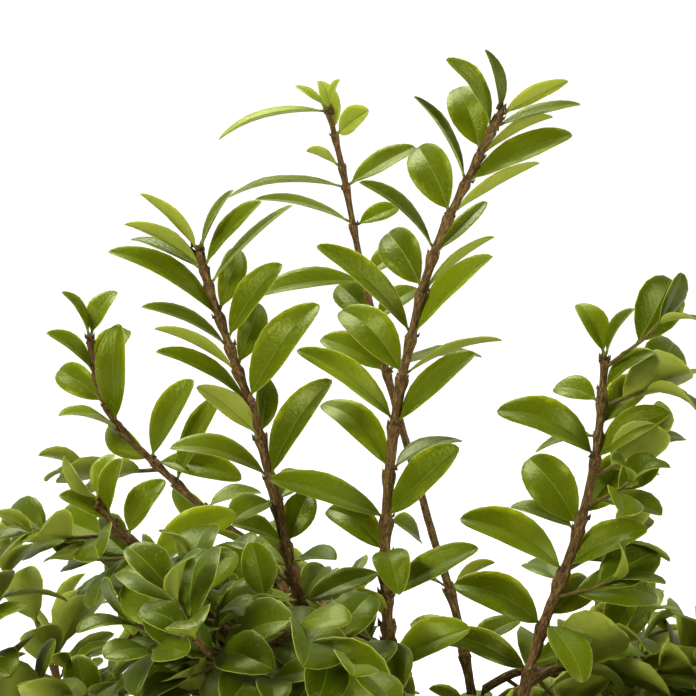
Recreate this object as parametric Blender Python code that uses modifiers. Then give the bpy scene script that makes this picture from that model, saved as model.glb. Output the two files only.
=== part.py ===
"""Potted box honeysuckle: a small evergreen shrub with opposite leaves, in a plain clay pot.

The shrub is built as it grows. A root crown stands on the compost, main stems rise from it, each main stem
forks into boughs, and each bough ends where leafy shoots begin. A tall leafy shoot is laid out leaf by leaf,
and every other spray grows by one seeded rule. All sizes are in metres, +Z is up, and the origin is at the
middle of the pot's flat underside.
"""

import math
import random
from collections import defaultdict, namedtuple

import bmesh
import bpy
from mathutils import Matrix, Vector
from mathutils.bvhtree import BVHTree

MM = 0.001
UP = Vector((0, 0, 1))
VIEWER = Vector((0, -1, 0))

# Clay pot and compost
POT_HEIGHT = 135 * MM
POT_WALL = 6.5 * MM
POT_FOOT_RADIUS = 52 * MM
POT_NECK_RADIUS = 70 * MM
POT_RIM_RADIUS = 79 * MM
POT_RIM_HEIGHT = 24 * MM
POT_STEPS = 32
DRAIN_RADIUS = 6 * MM
DRAIN_CIRCLE = 28 * MM
DRAIN_COUNT = 3
SOIL_DEPTH = 15 * MM
GAP = 0.3 * MM

# Woody frame
CROWN_HEIGHT = 15 * MM
CROWN_FLARE = 19 * MM
CROWN_TOP_RADIUS = 11.5 * MM
CROWN_STEPS = 20
MAIN_RING = 7.2 * MM
MAIN_RADII = (3.6 * MM, 3.0 * MM)
BOUGH_RADII = (2.5 * MM, 1.9 * MM)
SHOOT_RADII = (1.5 * MM, 0.7 * MM)
SPRAY_RADII = (1.3 * MM, 0.75 * MM)
TWIG_RADII = (0.95 * MM, 0.65 * MM)
LIMB_POINTS = 5
SPRAY_POINTS = 5
LIMB_SIDES = 6

# Foliage
LEAF_LENGTH = 29 * MM
LEAF_WIDEST = 0.45
LEAF_THICKNESS = 0.9 * MM
LEAF_FOLD = 0.34
NODE_SPACING = 13 * MM
CLEARANCE = 0.35 * MM
TWIG_LENGTH = 28 * MM
TRIANGLE = 3
NUDGES = (0, 11, -11, 22, -22, 35, -35)
STEM_NUDGES = (0, 12, -12, 24, -24, 36, -36, 50, -50, 70, -70, 90, -90)

Leaf = namedtuple("Leaf", "base chord normal width arch sweep", defaults=(0.0,))
Limb = namedtuple("Limb", "name route foot tip")


def mm(*numbers):
    """A point or a direction written in millimetres, as a vector in metres."""
    return Vector(numbers) * MM


# Routes that limbs follow


def spline_route(points, per_span):
    """A smooth route through the points."""
    ends = [2 * points[0] - points[1]], [2 * points[-1] - points[-2]]
    padded = ends[0] + list(points) + ends[1]
    route = []
    for a, b, c, d in zip(padded, padded[1:], padded[2:], padded[3:]):
        for step in range(per_span):
            t = step / per_span
            bend = (2 * a - 5 * b + 4 * c - d) * t * t + (3 * b - a - 3 * c + d) * t**3
            route.append(0.5 * (2 * b + (c - a) * t + bend))
    return route + [points[-1]]


def bent_route(start, heading, end, arrival, count):
    """A limb's route from start to end, leaving along heading and arriving along arrival."""
    reach = (end - start).length / 3
    inner = [start, start + heading * reach, end - arrival * reach, end]
    route = []
    for step in range(count):
        t = step / (count - 1)
        weights = ((1 - t) ** 3, 3 * t * (1 - t) ** 2, 3 * t * t * (1 - t), t**3)
        route.append(sum((p * w for p, w in zip(inner, weights)), Vector()))
    return route


def route_length(route):
    return sum((b - a).length for a, b in zip(route, route[1:]))


def along(route, distance):
    """The point and the heading at a distance along a route."""
    for a, b in zip(route, route[1:]):
        span = (b - a).length
        if distance <= span:
            return a.lerp(b, distance / span), (b - a).normalized()
        distance -= span
    return route[-1].copy(), (route[-1] - route[-2]).normalized()


def at_height(route, height):
    """The point and the heading where a rising route passes a height."""
    for a, b in zip(route, route[1:]):
        if a.z <= height < b.z:
            return a.lerp(b, (height - a.z) / (b.z - a.z)), (b - a).normalized()
    nearest = 0 if height < route[0].z else len(route) - 2
    heading = (route[nearest + 1] - route[nearest]).normalized()
    return route[0 if nearest == 0 else -1].copy(), heading


def side_of(heading):
    """A level direction square to a heading."""
    side = heading.cross(UP)
    return side.normalized() if side.length > 0.05 else Vector((1, 0, 0))


# Space that the plant has already taken


class Claims:
    """What is already grown, so that a new leaf or twig can be kept clear of it."""

    CELL = 20 * MM

    def __init__(self):
        self.cells = defaultdict(list)
        self.count = 0

    def cells_of(self, points):
        low = [math.floor(min(p[i] for p in points) / self.CELL) for i in range(3)]
        high = [math.floor(max(p[i] for p in points) / self.CELL) for i in range(3)]
        for x in range(low[0], high[0] + 1):
            for y in range(low[1], high[1] + 1):
                for z in range(low[2], high[2] + 1):
                    yield x, y, z

    def add(self, cage, owner):
        points, faces = cage
        self.count += 1
        entry = (self.count, owner, BVHTree.FromPolygons(points, faces))
        for cell in self.cells_of(points):
            self.cells[cell].append(entry)

    def free(self, cage, *ignored):
        points, faces = cage
        tree = BVHTree.FromPolygons(points, faces)
        seen = set()
        for cell in self.cells_of(points):
            for number, owner, other in self.cells[cell]:
                if number in seen or owner in ignored:
                    continue
                seen.add(number)
                if tree.overlap(other):
                    return False
        return True


def tube_cage(route, foot, tip, sides=4):
    """A plain prism round a route, which claims a limb's space."""
    points, faces = [], []
    for k, centre in enumerate(route):
        heading = (route[min(k + 1, len(route) - 1)] - route[max(k - 1, 0)]).normalized()
        side = side_of(heading)
        other = heading.cross(side)
        radius = foot + (tip - foot) * k / (len(route) - 1)
        for step in range(sides):
            turn = 2 * math.pi * step / sides
            points.append(centre + radius * (side * math.cos(turn) + other * math.sin(turn)))
    for k in range(len(route) - 1):
        for step in range(sides):
            a, b = k * sides + step, k * sides + (step + 1) % sides
            faces.append((a, b, b + sides, a + sides))
    faces.append(tuple(range(sides)))
    faces.append(tuple(range(len(points) - sides, len(points))))
    return points, faces


def leaf_axes(leaf):
    """Along the leaf, across it and out of its upper face."""
    length = leaf.chord.length
    forward = leaf.chord / length
    normal = (leaf.normal - forward * leaf.normal.dot(forward)).normalized()
    return forward, normal.cross(forward), normal, length


def leaf_cage(leaf):
    """A lens round the whole blade, from just past its stalk to its tip, which claims the leaf's space."""
    forward, across, normal, length = leaf_axes(leaf)
    points = [leaf.base + forward * 1.3 * MM, leaf.base + forward * (length + CLEARANCE)]
    for share, spread in ((0.22, 0.66), (LEAF_WIDEST, 1.0), (0.76, 0.78)):
        half = leaf.width / 2 * spread + CLEARANCE
        rise = 4 * leaf.arch * length / 8 * share * (1 - share)
        sweep = 4 * leaf.sweep * share * (1 - share)
        middle = leaf.base + forward * share * length + normal * rise + across * sweep
        points += [
            middle + across * half + normal * half * LEAF_FOLD,
            middle + normal * (LEAF_THICKNESS / 2 + CLEARANCE),
            middle - across * half + normal * half * LEAF_FOLD,
            middle - normal * (LEAF_THICKNESS / 2 + CLEARANCE),
        ]
    faces = []
    for step in range(4):
        after = (step + 1) % 4
        faces.append((0, 2 + step, 2 + after))
        faces.append((1, 10 + after, 10 + step))
        for ring in (2, 6):
            faces.append((ring + step, ring + 4 + step, ring + 4 + after, ring + after))
    return points, faces


# Blender helpers


def clear_scene():
    for obj in list(bpy.data.objects):
        bpy.data.objects.remove(obj, do_unlink=True)


def new_collection(name):
    collection = bpy.data.collections.new(name)
    bpy.context.scene.collection.children.link(collection)
    return collection


def material(name, colour, roughness):
    made = bpy.data.materials.new(name)
    made.use_nodes = True
    shader = made.node_tree.nodes["Principled BSDF"]
    shader.inputs["Base Color"].default_value = (*colour, 1)
    shader.inputs["Roughness"].default_value = roughness
    shader.inputs["Metallic"].default_value = 0.0
    return made


def place(name, mesh, collection, finish):
    obj = bpy.data.objects.new(name, mesh)
    collection.objects.link(obj)
    if finish:
        mesh.materials.clear()
        mesh.materials.append(finish)
    return obj


def turned(name, profile, steps, collection, finish):
    """A profile of (radius, height) pairs, turned round Z."""
    mesh = bpy.data.meshes.new(name)
    edges = [(k, k + 1) for k in range(len(profile) - 1)]
    mesh.from_pydata([(radius, 0, height) for radius, height in profile], edges, [])
    obj = place(name, mesh, collection, finish)
    screw = obj.modifiers.new("turn", "SCREW")
    screw.steps = steps
    screw.render_steps = steps
    screw.use_merge_vertices = True
    screw.merge_threshold = 0.01 * MM
    return obj


def triangle_profile(collection):
    """The three-cornered section of a twig, of radius 1 mm."""
    curve = bpy.data.curves.new("twig_section", "CURVE")
    curve.dimensions = "2D"
    spline = curve.splines.new("POLY")
    spline.points.add(TRIANGLE - 1)
    for step, point in enumerate(spline.points):
        turn = 2 * math.pi * step / TRIANGLE
        point.co = (MM * math.cos(turn), MM * math.sin(turn), 0, 1)
    spline.use_cyclic_u = True
    section = bpy.data.objects.new("twig_section", curve)
    section.hide_render = True
    section.display_type = "WIRE"
    collection.objects.link(section)
    return section


def tapered_tube(name, limb, collection, finish, section=None):
    """A limb as a closed mesh, made from a tapering curve with filled ends."""
    curve = bpy.data.curves.new(name, "CURVE")
    curve.dimensions = "3D"
    curve.use_fill_caps = True
    if section:
        curve.bevel_mode = "OBJECT"
        curve.bevel_object = section
    else:
        curve.bevel_depth = MM
        curve.bevel_resolution = (LIMB_SIDES - 4) // 2
    spline = curve.splines.new("POLY")
    spline.points.add(len(limb.route) - 1)
    for step, (point, place_at) in enumerate(zip(spline.points, limb.route)):
        share = step / (len(limb.route) - 1)
        point.co = (*place_at, 1)
        point.radius = (limb.foot + (limb.tip - limb.foot) * share) / MM
    guide = bpy.data.objects.new(name + "_guide", curve)
    collection.objects.link(guide)
    bpy.context.view_layer.update()
    evaluated = guide.evaluated_get(bpy.context.evaluated_depsgraph_get())
    mesh = bpy.data.meshes.new_from_object(evaluated)
    bpy.data.objects.remove(guide)
    shape = bmesh.new()
    shape.from_mesh(mesh)
    bmesh.ops.remove_doubles(shape, verts=shape.verts, dist=0.001 * MM)
    bmesh.ops.recalc_face_normals(shape, faces=shape.faces)
    shape.to_mesh(mesh)
    shape.free()
    mesh.name = name
    return place(name, mesh, collection, finish)


def leaf_solid(name, leaf, collection):
    """A leaf of eight faces: a stretched sphere of four segments, folded along its rib and arched."""
    forward, across, normal, length = leaf_axes(leaf)
    sink = 0.4 * MM
    rise = leaf.arch * length / 8
    shape = bmesh.new()
    bmesh.ops.create_uvsphere(shape, u_segments=4, v_segments=2, radius=1)
    for vertex in shape.verts:
        x, y, z = vertex.co
        if x < -0.5:
            vertex.co = leaf.base - forward * sink
        elif x > 0.5:
            vertex.co = leaf.base + forward * length
        else:
            middle = leaf.base + forward * LEAF_WIDEST * length + normal * rise
            fold = abs(y) * leaf.width / 2 * LEAF_FOLD
            vertex.co = middle + across * (y * leaf.width / 2 + leaf.sweep)
            vertex.co += normal * (fold + z * LEAF_THICKNESS / 2)
    mesh = bpy.data.meshes.new(name)
    shape.to_mesh(mesh)
    shape.free()
    return place(name, mesh, collection, None)


def fuse(stem, pieces, label):
    """One Boolean union of the stem with everything in the collection, which is then emptied."""
    union = stem.modifiers.new(label, "BOOLEAN")
    union.operation = "UNION"
    union.operand_type = "COLLECTION"
    union.collection = pieces
    union.solver = "MANIFOLD"
    bpy.context.view_layer.update()
    evaluated = stem.evaluated_get(bpy.context.evaluated_depsgraph_get())
    mesh = bpy.data.meshes.new_from_object(evaluated)
    stem.modifiers.clear()
    stem.data = mesh
    for piece in list(pieces.objects):
        bpy.data.objects.remove(piece)
    bpy.data.collections.remove(pieces)


# Where limbs begin


def branch_starts(tip, heading, targets, radius):
    """Feet of limbs that leave one flat tip side by side, each a gap clear of it and of each other."""
    side = side_of(heading)
    other = heading.cross(side)
    turns = []
    for target in targets:
        away = target - tip
        turns.append(math.atan2(away.dot(other), away.dot(side)))
    order = sorted(range(len(targets)), key=lambda k: turns[k])
    step = 2 * math.pi / max(len(targets), 1)
    first = sum(turns[k] - step * rank for rank, k in enumerate(order)) / max(len(targets), 1)
    spread = 0 if len(targets) == 1 else (radius + GAP) / math.sin(step / 2)
    feet = [None] * len(targets)
    for rank, k in enumerate(order):
        turn = first + step * rank
        outward = side * math.cos(turn) + other * math.sin(turn)
        feet[k] = tip + heading * GAP + outward * spread
    return feet


def forked_route(foot, heading, end, arrival, radius, count):
    """A limb's route from a fork: squarely off the flat tip that it starts from, and then on to its end."""
    neck = foot + heading * radius
    leaving = (heading * 1.2 + (end - neck).normalized()).normalized()
    return [foot] + bent_route(neck, leaving, end, arrival, count)


# Leafy shoots that the photo shows leaf by leaf. Route points are (right, away, height), and each leaf is
# (height of its node, reach right, reach towards the viewer, rise, turn of its upper face to the viewer in
# degrees, width, bow out of its face, sweep towards the shoot's tip), all other numbers in millimetres.

CENTRE_SHOOT = (
    [(8, -20, 257), (6.4, -20, 292), (8.4, -20, 324), (12.9, -20, 348), (18.7, -20, 369.5),
     (27.2, -20, 388), (35.6, -20, 405)],
    [
        (402.8, -3.2, -3, 16.7, 18, 6, 0.9, 0.9),
        (402.9, 16.9, 3, 9, -33, 6, 0.3, 0),
        (399.4, -11, 6, 18.1, 40, 8.4, 0.9, 1.8),
        (400.2, 21.8, -4, 6.1, 18, 5.6, 0.4, 0),
        (393.6, -6, -6, 16.8, 75, 9.4, 1.2, 0.9),
        (393.4, 17.9, -5, 9.8, -42, 7, 0.4, 0),
        (386.6, 25.8, 4, 12.2, 45, 10, 1, 0),
        (386.4, -12.9, 4, 21.7, 24, 6.6, 1, 1.6),
        (378.9, 21.9, -4, 12.6, -40, 7.2, 0.2, 0),
        (378, -8.6, -10, 17.5, 80, 10.4, 1.5, 1.5),
        (368.6, 13.4, -8, 12.7, 12, 5, 0, -0.4),
        (369.4, -18.5, 6, 17.8, 30, 7.6, 1.3, 1.7),
        (359.2, 18, -6, 13.4, -36, 7, 0.6, 0),
        (359.2, -9.6, -10, 14.5, 80, 10.2, 1.6, 1.7),
        (348, 19.5, 6, 20.8, 45, 10.4, 0.8, 0),
        (348.2, -23.3, 3, 23.1, 45, 8.4, 1, 2),
        (338, 25, -6, 8.6, -20, 9, 1.8, 0),
        (337.8, -15.6, -9, 16.6, 62, 9.8, 1.8, 1.8),
        (325.8, 19.6, 5, 18.8, 46, 9.8, 0.5, 0),
        (326.2, -24, 3, 19.1, 47, 8.2, 1.3, 1.6),
        (313.8, -16.8, -8, 17.4, 50, 8.2, 2, 2),
        (314.2, 18.3, -8, 6.6, 0, 9.5, 1.2, 0),
        (302.2, 17.5, 9, 19, 60, 11.2, 0.8, -0.3),
        (301.9, -28.8, 8, 11.4, 41, 9.6, 1, 0.6),
        (292.6, -14.8, -6, 11.4, 58, 8, 1.6, 1.8),
        (302, 8.6, -10, -7.4, 50, 8, 0.6, 0),
        (293.2, 3.3, 15, -7.8, 15, 9, 4, 0),
        (281.8, 22.5, 6, 13.8, 42, 9, 1, 0),
        (288.4, -19, 8, -5.7, 32, 8, 1, 0),
        (275, -8, 4, 10, -20, 6, 0.7, 0.5),
        (271, 1.5, 19, -10.5, 10, 9.5, 1.1, 0.9),
        (263.5, 19.5, 9, 12, 50, 10.5, 2.4, 0),
        (263, -16, 9, 6, 50, 8.5, 1, 0.8),
    ],
)
LEFT_SHOOT = (
    [(-10.5, -22, 258), (-14.2, -22, 277.6), (-18.2, -22, 293.5), (-25, -22, 323), (-30.7, -22, 340),
     (-37.6, -22, 360.6), (-40.4, -22, 371)],
    [
        (369.4, 8.3, 3, 15.6, 25, 6.8, 0.5, 0),
        (368.9, -14.5, 2, 15.1, -24, 6.4, 0.6, 0.8),
        (365.5, -19, 4, 11.7, -28, 6.4, 0.8, 0.4),
        (364.6, -18.6, -8, 8, 5, 6.5, 0.6, 0),
        (365.4, 14.4, 5, 16.8, 38, 8, 1, 0),
        (360.8, 20.8, 3, 20.6, 16, 6.6, 0.8, 0),
        (352.6, -26.7, 6, 17.9, 42, 9.4, 1.8, 1.6),
        (353.8, 5, -8, 16.4, 65, 6.6, 1, -0.2),
        (345.4, -21.6, 5, 10.7, 30, 7.6, 1, 1.2),
        (347.2, 13.1, 4, 19.6, 50, 9.2, 1.2, 0),
        (339.4, -20.8, -2, 10.8, -34, 7, 0.8, 0.6),
        (340.2, 5.7, -9, 16.3, 70, 7, 1, 0),
        (331.2, -22.9, 5, 14, 35, 8, 1.2, 1.2),
        (332.2, 15.4, 4, 25, 57, 10.8, 0.8, 0),
        (322.8, -15.5, 7, 13.8, -35, 7.4, 1.2, 0),
        (322.8, 1.4, -9, 14.6, 65, 6.5, 0.3, 0),
        (312.4, -24.4, 5, 9.1, 35, 9, 2.3, 0.8),
        (312.6, 14.8, 4, 25.3, 52, 10, 2.1, 0),
        (306.5, -11.1, 10, -3.6, 30, 9, 1.2, 0),
        (306, 7, -13, 6, 40, 7, 0.8, 0.6),
        (295.2, 5.7, -4, 13.2, 60, 8, 0.5, 0),
        (295.2, -13.2, 6, 6.5, 40, 8, 1.2, 0),
        (290.8, 11.6, 11, 2.9, 10, 8.5, 0.8, 0),
        (289, -9, -14, 7, 40, 8, 0.9, 0.7),
        (281, -10, 14, 2, 30, 7.5, 0.9, 0.7),
        (280, 6, -14, 8, 50, 7.5, 0.9, 0.7),
        (274, 9, 14, -3.5, 10, 7.5, 0.9, 0.7),
        (272, -12, -10, 8, 60, 7.5, 0.9, 0.7),
        (266, -14, 10, 5, 50, 7.5, 0.9, 0.7),
        (265, 13, -10, 8, 40, 8, 0.9, 0.7),
    ],
)
BACK_SHOOT = (
    [(32, 40, 246), (26, 44, 267), (20.2, 48, 286), (12.4, 53, 313), (7.3, 56, 331), (-0.4, 59, 364),
     (-4, 60, 383), (-8.4, 60, 402)],
    [
        (401, -30.1, 2, -6.5, 8, 7.5, 2.2, 0),
        (401.2, 2.8, 3, 8.5, 50, 4.5, 0.3, 0),
        (401.6, -8.9, -3, 6.3, 20, 3.5, 0.4, 0),
        (394.2, 8.9, 8, 7.4, 65, 7.5, 0.4, 0),
        (394.5, -3.2, -6, 15.3, 40, 6, 0.4, 0),
        (385.8, -9.4, -6, 4.5, -50, 6, 0.3, 0),
        (380.6, 18.8, -4, 10.8, 42, 7.5, 0.5, 0),
        (380.4, -31.9, 3, -1.2, 6, 8, 2.2, 0),
        (370.8, -26.2, 5, 7.2, 18, 8.5, 1.2, 0),
        (369.8, 12.1, -6, 4.9, 50, 6, 0.4, 0),
        (354.8, -28.6, 5, -2.7, 38, 9, 1.8, 0),
        (355.5, 13, -8, 8, 40, 7.5, 0.9, 0.7),
        (344, -10, -14, 9, 50, 8.5, 1, 0.8),
        (343.5, 12, -9, 9, 40, 7.5, 0.9, 0.7),
        (331, 26, 0, 4.5, 8, 11.5, 1.3, 1.1),
        (330, -18, -6, 9, 45, 9, 1.1, 0.8),
        (273, -10, 5, 4, 30, 5, 0.6, 0.5),
        (272, 12, -5, 7.5, -30, 6.5, 0.8, 0.6),
        (256, -14, -9, 7, 40, 8, 0.9, 0.7),
        (255, 15, -6, 9, 40, 8, 0.9, 0.7),
    ],
)
RIGHT_SHOOT = (
    [(41, -12, 255.5), (46.7, -12, 273.2), (51.6, -12, 286), (55.9, -12, 299.3), (59.8, -12, 317),
     (61.3, -12, 333.6), (61.8, -12, 342)],
    [
        (341.5, -6, -5, 14, 30, 7, 0.8, 0.6),
        (341.5, 7, 3, 13, 40, 6.5, 0.8, 0.6),
        (330, -11.7, -6, 3.5, 40, 8, 0.8, 0.8),
        (333, 12, 6, 11, 45, 7.5, 0.9, 0.7),
        (324, 13, -10, 12, 40, 8.5, 1, 0.8),
        (322, -15.5, -8, -5.3, 20, 7, 1, 0),
        (316.2, -24.8, 5, 13, 48, 11, 3.6, 1.2),
        (315.5, 18, 5, 13, 50, 10, 1.1, 0.9),
        (298, -12.9, -8, 17.3, 80, 11.6, 1.6, 1.6),
        (301, 14, -12, 14, 45, 10, 1.2, 0.9),
        (297.6, -16.8, -6, 5.9, 32, 6.5, 0.6, 0.4),
        (286.8, -26.3, 4, 14.8, 48, 10.6, 2.6, 1.8),
        (288, 20, 4, 11, 50, 10, 1.2, 0.9),
        (284, -8, -16, 3, 40, 8, 0.9, 0.7),
        (272.8, -21.8, 4, 12.5, 62, 10.6, 2.2, 1),
        (274, 9, 16, -12, 30, 9.5, 1.1, 0.9),
        (275, 13, -12, 8, 45, 8.5, 1, 0.8),
        (261.7, -20.5, 6, 11.6, 60, 7.8, 0.8, 0),
        (263, 15, 6, 8, 50, 8, 0.9, 0.7),
    ],
)
FAR_LEFT_SHOOT = (
    [(-12, 16, 266), (-25, 25, 284.6), (-37.6, 28, 294), (-55, 33, 309.3), (-64.7, 35, 319),
     (-70, 36, 331), (-71.5, 36, 342)],
    [
        (341.5, -7, 3, 13, 40, 6.5, 0.8, 0.6),
        (341.5, 6, -4, 13, 30, 6.5, 0.7, 0.6),
        (332, 8, -9, 12, 40, 7.5, 0.9, 0.7),
        (332, -12, 6, 12, 50, 7.5, 0.9, 0.7),
        (324, -14, -8, 9, 50, 8, 0.9, 0.7),
        (319, -0.4, 3, 26.4, 80, 9, 0.6, 0),
        (317, -16, 9, 6, 50, 8.5, 1, 0.8),
        (309.6, 11.5, 5, 21.9, 55, 9.8, 1.6, 0),
        (309, 23.5, 3, -4, 58, 8.5, 1.8, 0),
        (309, -14, -10, 8, 50, 8, 0.9, 0.8),
        (303.6, 11.6, 3, 23.6, 55, 8.5, 1, 0),
        (297, 15, -6, 4, 50, 7, 0.8, 0.7),
        (293, -14, -10, 8, 40, 8, 0.9, 0.8),
        (285, 10, -14, 8, 50, 8, 0.9, 0.8),
        (284, -16, 4, 9, 40, 8, 0.9, 0.8),
        (275, -12, -12, 7, 40, 8, 0.9, 0.7),
    ],
)
SHORT_LEFT_SHOOT = (
    [(-24, -27, 264), (-34, -31, 277), (-46, -35, 290.5), (-55, -36, 297.6), (-60, -37, 302),
     (-65, -38, 309)],
    [
        (308.5, -8, 2, 12, 45, 6.5, 0.7, 0.6),
        (308.5, 3, -4, 12, 40, 5.5, 0.7, 0.5),
        (304.5, 3.3, 4, 15.5, 45, 7, 0.8, 0.7),
        (303, -13, 4, 8, 50, 7, 0.8, 0.6),
        (299.5, 8, 3, 15, 50, 7.5, 0.9, 0.7),
        (295.4, 20.3, 5, 11.3, 55, 9, 1.6, 0),
        (294, -5.5, 14, -16, 30, 9.5, 1.1, 0.9),
        (290.5, 3.7, 20, -12, 5, 10, 1.2, 0.9),
        (290, -10, -16, 6, 40, 8.5, 1, 0.8),
        (284, -13, 12, 2, 30, 7.5, 0.9, 0.7),
        (284, 8, -13, 10, 60, 8, 0.9, 0.7),
        (277, -12, -8, 10, 50, 7.5, 0.9, 0.7),
        (276, 8, 15, -6, 20, 8, 0.9, 0.7),
    ],
)

# Main stems: name, lean direction and tip, in millimetres.
MAIN_STEMS = {
    "main_stem_front": (2, -15, 182),
    "main_stem_right": (24, -7, 170),
    "main_stem_back_right": (17, 21, 172),
    "main_stem_back_left": (-14, 20, 174),
    "main_stem_left": (-23, -11, 171),
}

# Boughs: name, main stem, tip in millimetres and the heading that it arrives with. A tall one carries the shoot
# of that name, and the sprays of every bough are (turn from the bough's azimuth, elevation, length in mm).
BOUGHS = (
    ("centre", "main_stem_front", (8, -20, 255.5), (-0.02, 0, 1), CENTRE_SHOOT, [(-100, 8, 56)]),
    ("left", "main_stem_front", (-10.3, -22, 256.5), (-0.15, 0, 1), LEFT_SHOOT, [(-78, 24, 54)]),
    ("front", "main_stem_front", (3, -56, 186), (0, -0.8, 0.4), None, [(-44, 6, 62), (0, 68, 68), (44, 4, 62)]),
    ("right", "main_stem_right", (40.6, -12, 254), (0.2, 0, 1), RIGHT_SHOOT, [(50, 5, 58)]),
    ("right_low", "main_stem_right", (60, -4, 184), (0.8, 0, 0.4), None, [(-40, 6, 62), (8, 66, 98), (40, 8, 62)]),
    ("front_right", "main_stem_right", (44, -42, 178), (0.6, -0.55, 0.4), None, [(-12, 3, 64), (16, 64, 74)]),
    ("back", "main_stem_back_right", (32, 40, 244.5), (-0.25, 0.1, 1), BACK_SHOOT, [(-60, 5, 56)]),
    ("back_right", "main_stem_back_right", (46, 46, 182), (0.55, 0.55, 0.4), None, [(-38, 6, 62), (0, 60, 86), (38, 4, 62)]),
    ("far_left", "main_stem_back_left", (-11.5, 15.5, 264.5), (-0.5, 0.3, 0.8), FAR_LEFT_SHOOT, [(-50, 5, 54)]),
    ("back_low", "main_stem_back_left", (-4, 58, 184), (0, 0.8, 0.4), None, [(-42, 6, 62), (0, 64, 94), (42, 4, 62)]),
    ("back_left", "main_stem_back_left", (-46, 42, 182), (-0.55, 0.5, 0.4), None, [(-14, 4, 64), (14, 58, 92)]),
    ("short_left", "main_stem_left", (-22.5, -26.3, 262.5), (-0.5, -0.25, 0.8), SHORT_LEFT_SHOOT, [(22, 20, 56)]),
    ("left_low", "main_stem_left", (-60, 3, 183), (-0.8, 0, 0.4), None, [(-40, 8, 62), (6, 66, 104), (40, 6, 62)]),
    ("front_left", "main_stem_left", (-42, -42, 182), (-0.55, -0.55, 0.4), None, [(-36, 6, 62), (2, 66, 78), (38, 4, 62)]),
)


def crown_top(point):
    """The height that the close body of the crown reaches: low on the right, so that the tall shoots stand free."""

    def ease(share):
        share = min(max(share, 0.0), 1.0)
        return share * share * (3 - 2 * share)

    x, y = point.x / MM, point.y / MM
    outside = ease((x - 60) / 10) + ease((-68 - x) / 10)
    body = 255 + 30 * ease((10 - x) / 8) + 18 * ease((-15 - x) / 15) - 0.105 * (y + 20)
    return (body + outside * (380 - body)) * MM


def in_crown(leaf):
    """True if a leaf of the close body stays under the crown's top and above the pot's rim."""
    tip = leaf.base + leaf.chord
    return POT_HEIGHT + 20 * MM < tip.z < crown_top(tip)


# Growth of leafy shoots


def shoot_leaves(route, rows):
    """The leaves of a shoot that is laid out leaf by leaf."""
    leaves = []
    for height, right, towards, rise, turn, width, bow, sweep in rows:
        base, heading = at_height(route, height * MM)
        chord = mm(right, -towards, rise)
        forward = chord.normalized()
        upper = (heading - forward * heading.dot(forward)).normalized()
        facing = forward.cross(upper)
        if facing.dot(VIEWER) < 0:
            facing = -facing
        angle = math.radians(turn)
        normal = upper * math.cos(angle) + facing * math.sin(angle)
        if normal.cross(forward).dot(upper) < 0:
            sweep = -sweep
        leaves.append(Leaf(base, chord, normal, width * MM, 8 * bow * MM / chord.length, sweep * MM))
    return leaves


def pair_at(rng, base, heading, turn, length, open_angle):
    """Two opposite leaves at a node, their upper faces turned to the light."""
    side = side_of(heading)
    other = heading.cross(side)
    pair = []
    for half_turn in (0, math.pi):
        angle = turn + half_turn + rng.uniform(-0.25, 0.25)
        out = side * math.cos(angle) + other * math.sin(angle)
        lean = math.radians(open_angle + rng.uniform(-9, 9))
        size = length * rng.uniform(0.88, 1.08)
        chord = (heading * math.cos(lean) + out * math.sin(lean)) * size
        light = UP + Vector((base.x, base.y, 0)).normalized() * 0.45
        normal = heading * 0.5 + light * rng.uniform(0.5, 0.9)
        pair.append(Leaf(base, chord, normal, size * rng.uniform(0.44, 0.52), rng.uniform(0.25, 0.6)))
    return pair


def rule_leaves(rng, route, first, spacing, full_length):
    """Leaf pairs that follow the rule: one pair a node, each turned from the last, and small at the tip."""
    total = route_length(route)
    leaves = []
    distance = first
    rank = 0
    while distance < total - 0.35 * spacing:
        base, heading = along(route, distance)
        share = distance / total
        turn = math.radians(14 + 31 * abs(heading.z)) * (1 if rank % 2 else -1)
        length = full_length * (1 - 0.34 * share**2)
        leaves += pair_at(rng, base, heading, turn, length, 62 - 14 * share)
        distance += spacing * rng.uniform(0.9, 1.1)
        rank += 1
    base, heading = along(route, total - 0.6 * MM)
    turn = rng.uniform(0, math.pi)
    return leaves + pair_at(rng, base, heading, turn, full_length * 0.66, 26)


def side_twigs(rng, name, route, claims):
    """Twigs that leave a spray's stem in pairs of nodes, shorter towards its tip."""
    total = route_length(route)
    twigs = []
    for rank, share in enumerate((0.3, 0.52)):
        base, heading = along(route, total * share)
        side = side_of(heading) * (1 if rank % 2 else -1)
        leaving = (heading * 0.75 + side * 0.8 + UP * rng.uniform(0.0, 0.35)).normalized()
        arriving = (leaving + UP * 0.25).normalized()
        length = TWIG_LENGTH * (1.1 - 0.4 * share) * rng.uniform(0.9, 1.1)
        start = base - leaving * 0.2 * MM
        twig = Limb(
            f"{name}_twig_{rank}",
            bent_route(start, leaving, base + leaving * length, arriving, 3),
            *TWIG_RADII,
        )
        cage = stem_cage(twig)
        if claims.free(cage, name) and twig.route[2].z < crown_top(twig.route[2]):
            claims.add(cage, twig.name)
            twigs.append(twig)
    return twigs


def plan_main_stems():
    """Main stems that rise side by side from the flat top of the root crown."""
    stems = {}
    top = POT_HEIGHT - SOIL_DEPTH + GAP + CROWN_HEIGHT
    for name, tip in MAIN_STEMS.items():
        end = mm(*tip)
        outward = Vector((end.x, end.y, 0)).normalized()
        arriving = (outward * 0.3 + UP).normalized()
        foot = outward * MAIN_RING + UP * (top + GAP)
        route = forked_route(foot, UP, end, arriving, MAIN_RADII[0], LIMB_POINTS)
        stems[name] = Limb(name, route, *MAIN_RADII)
    return stems


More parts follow.
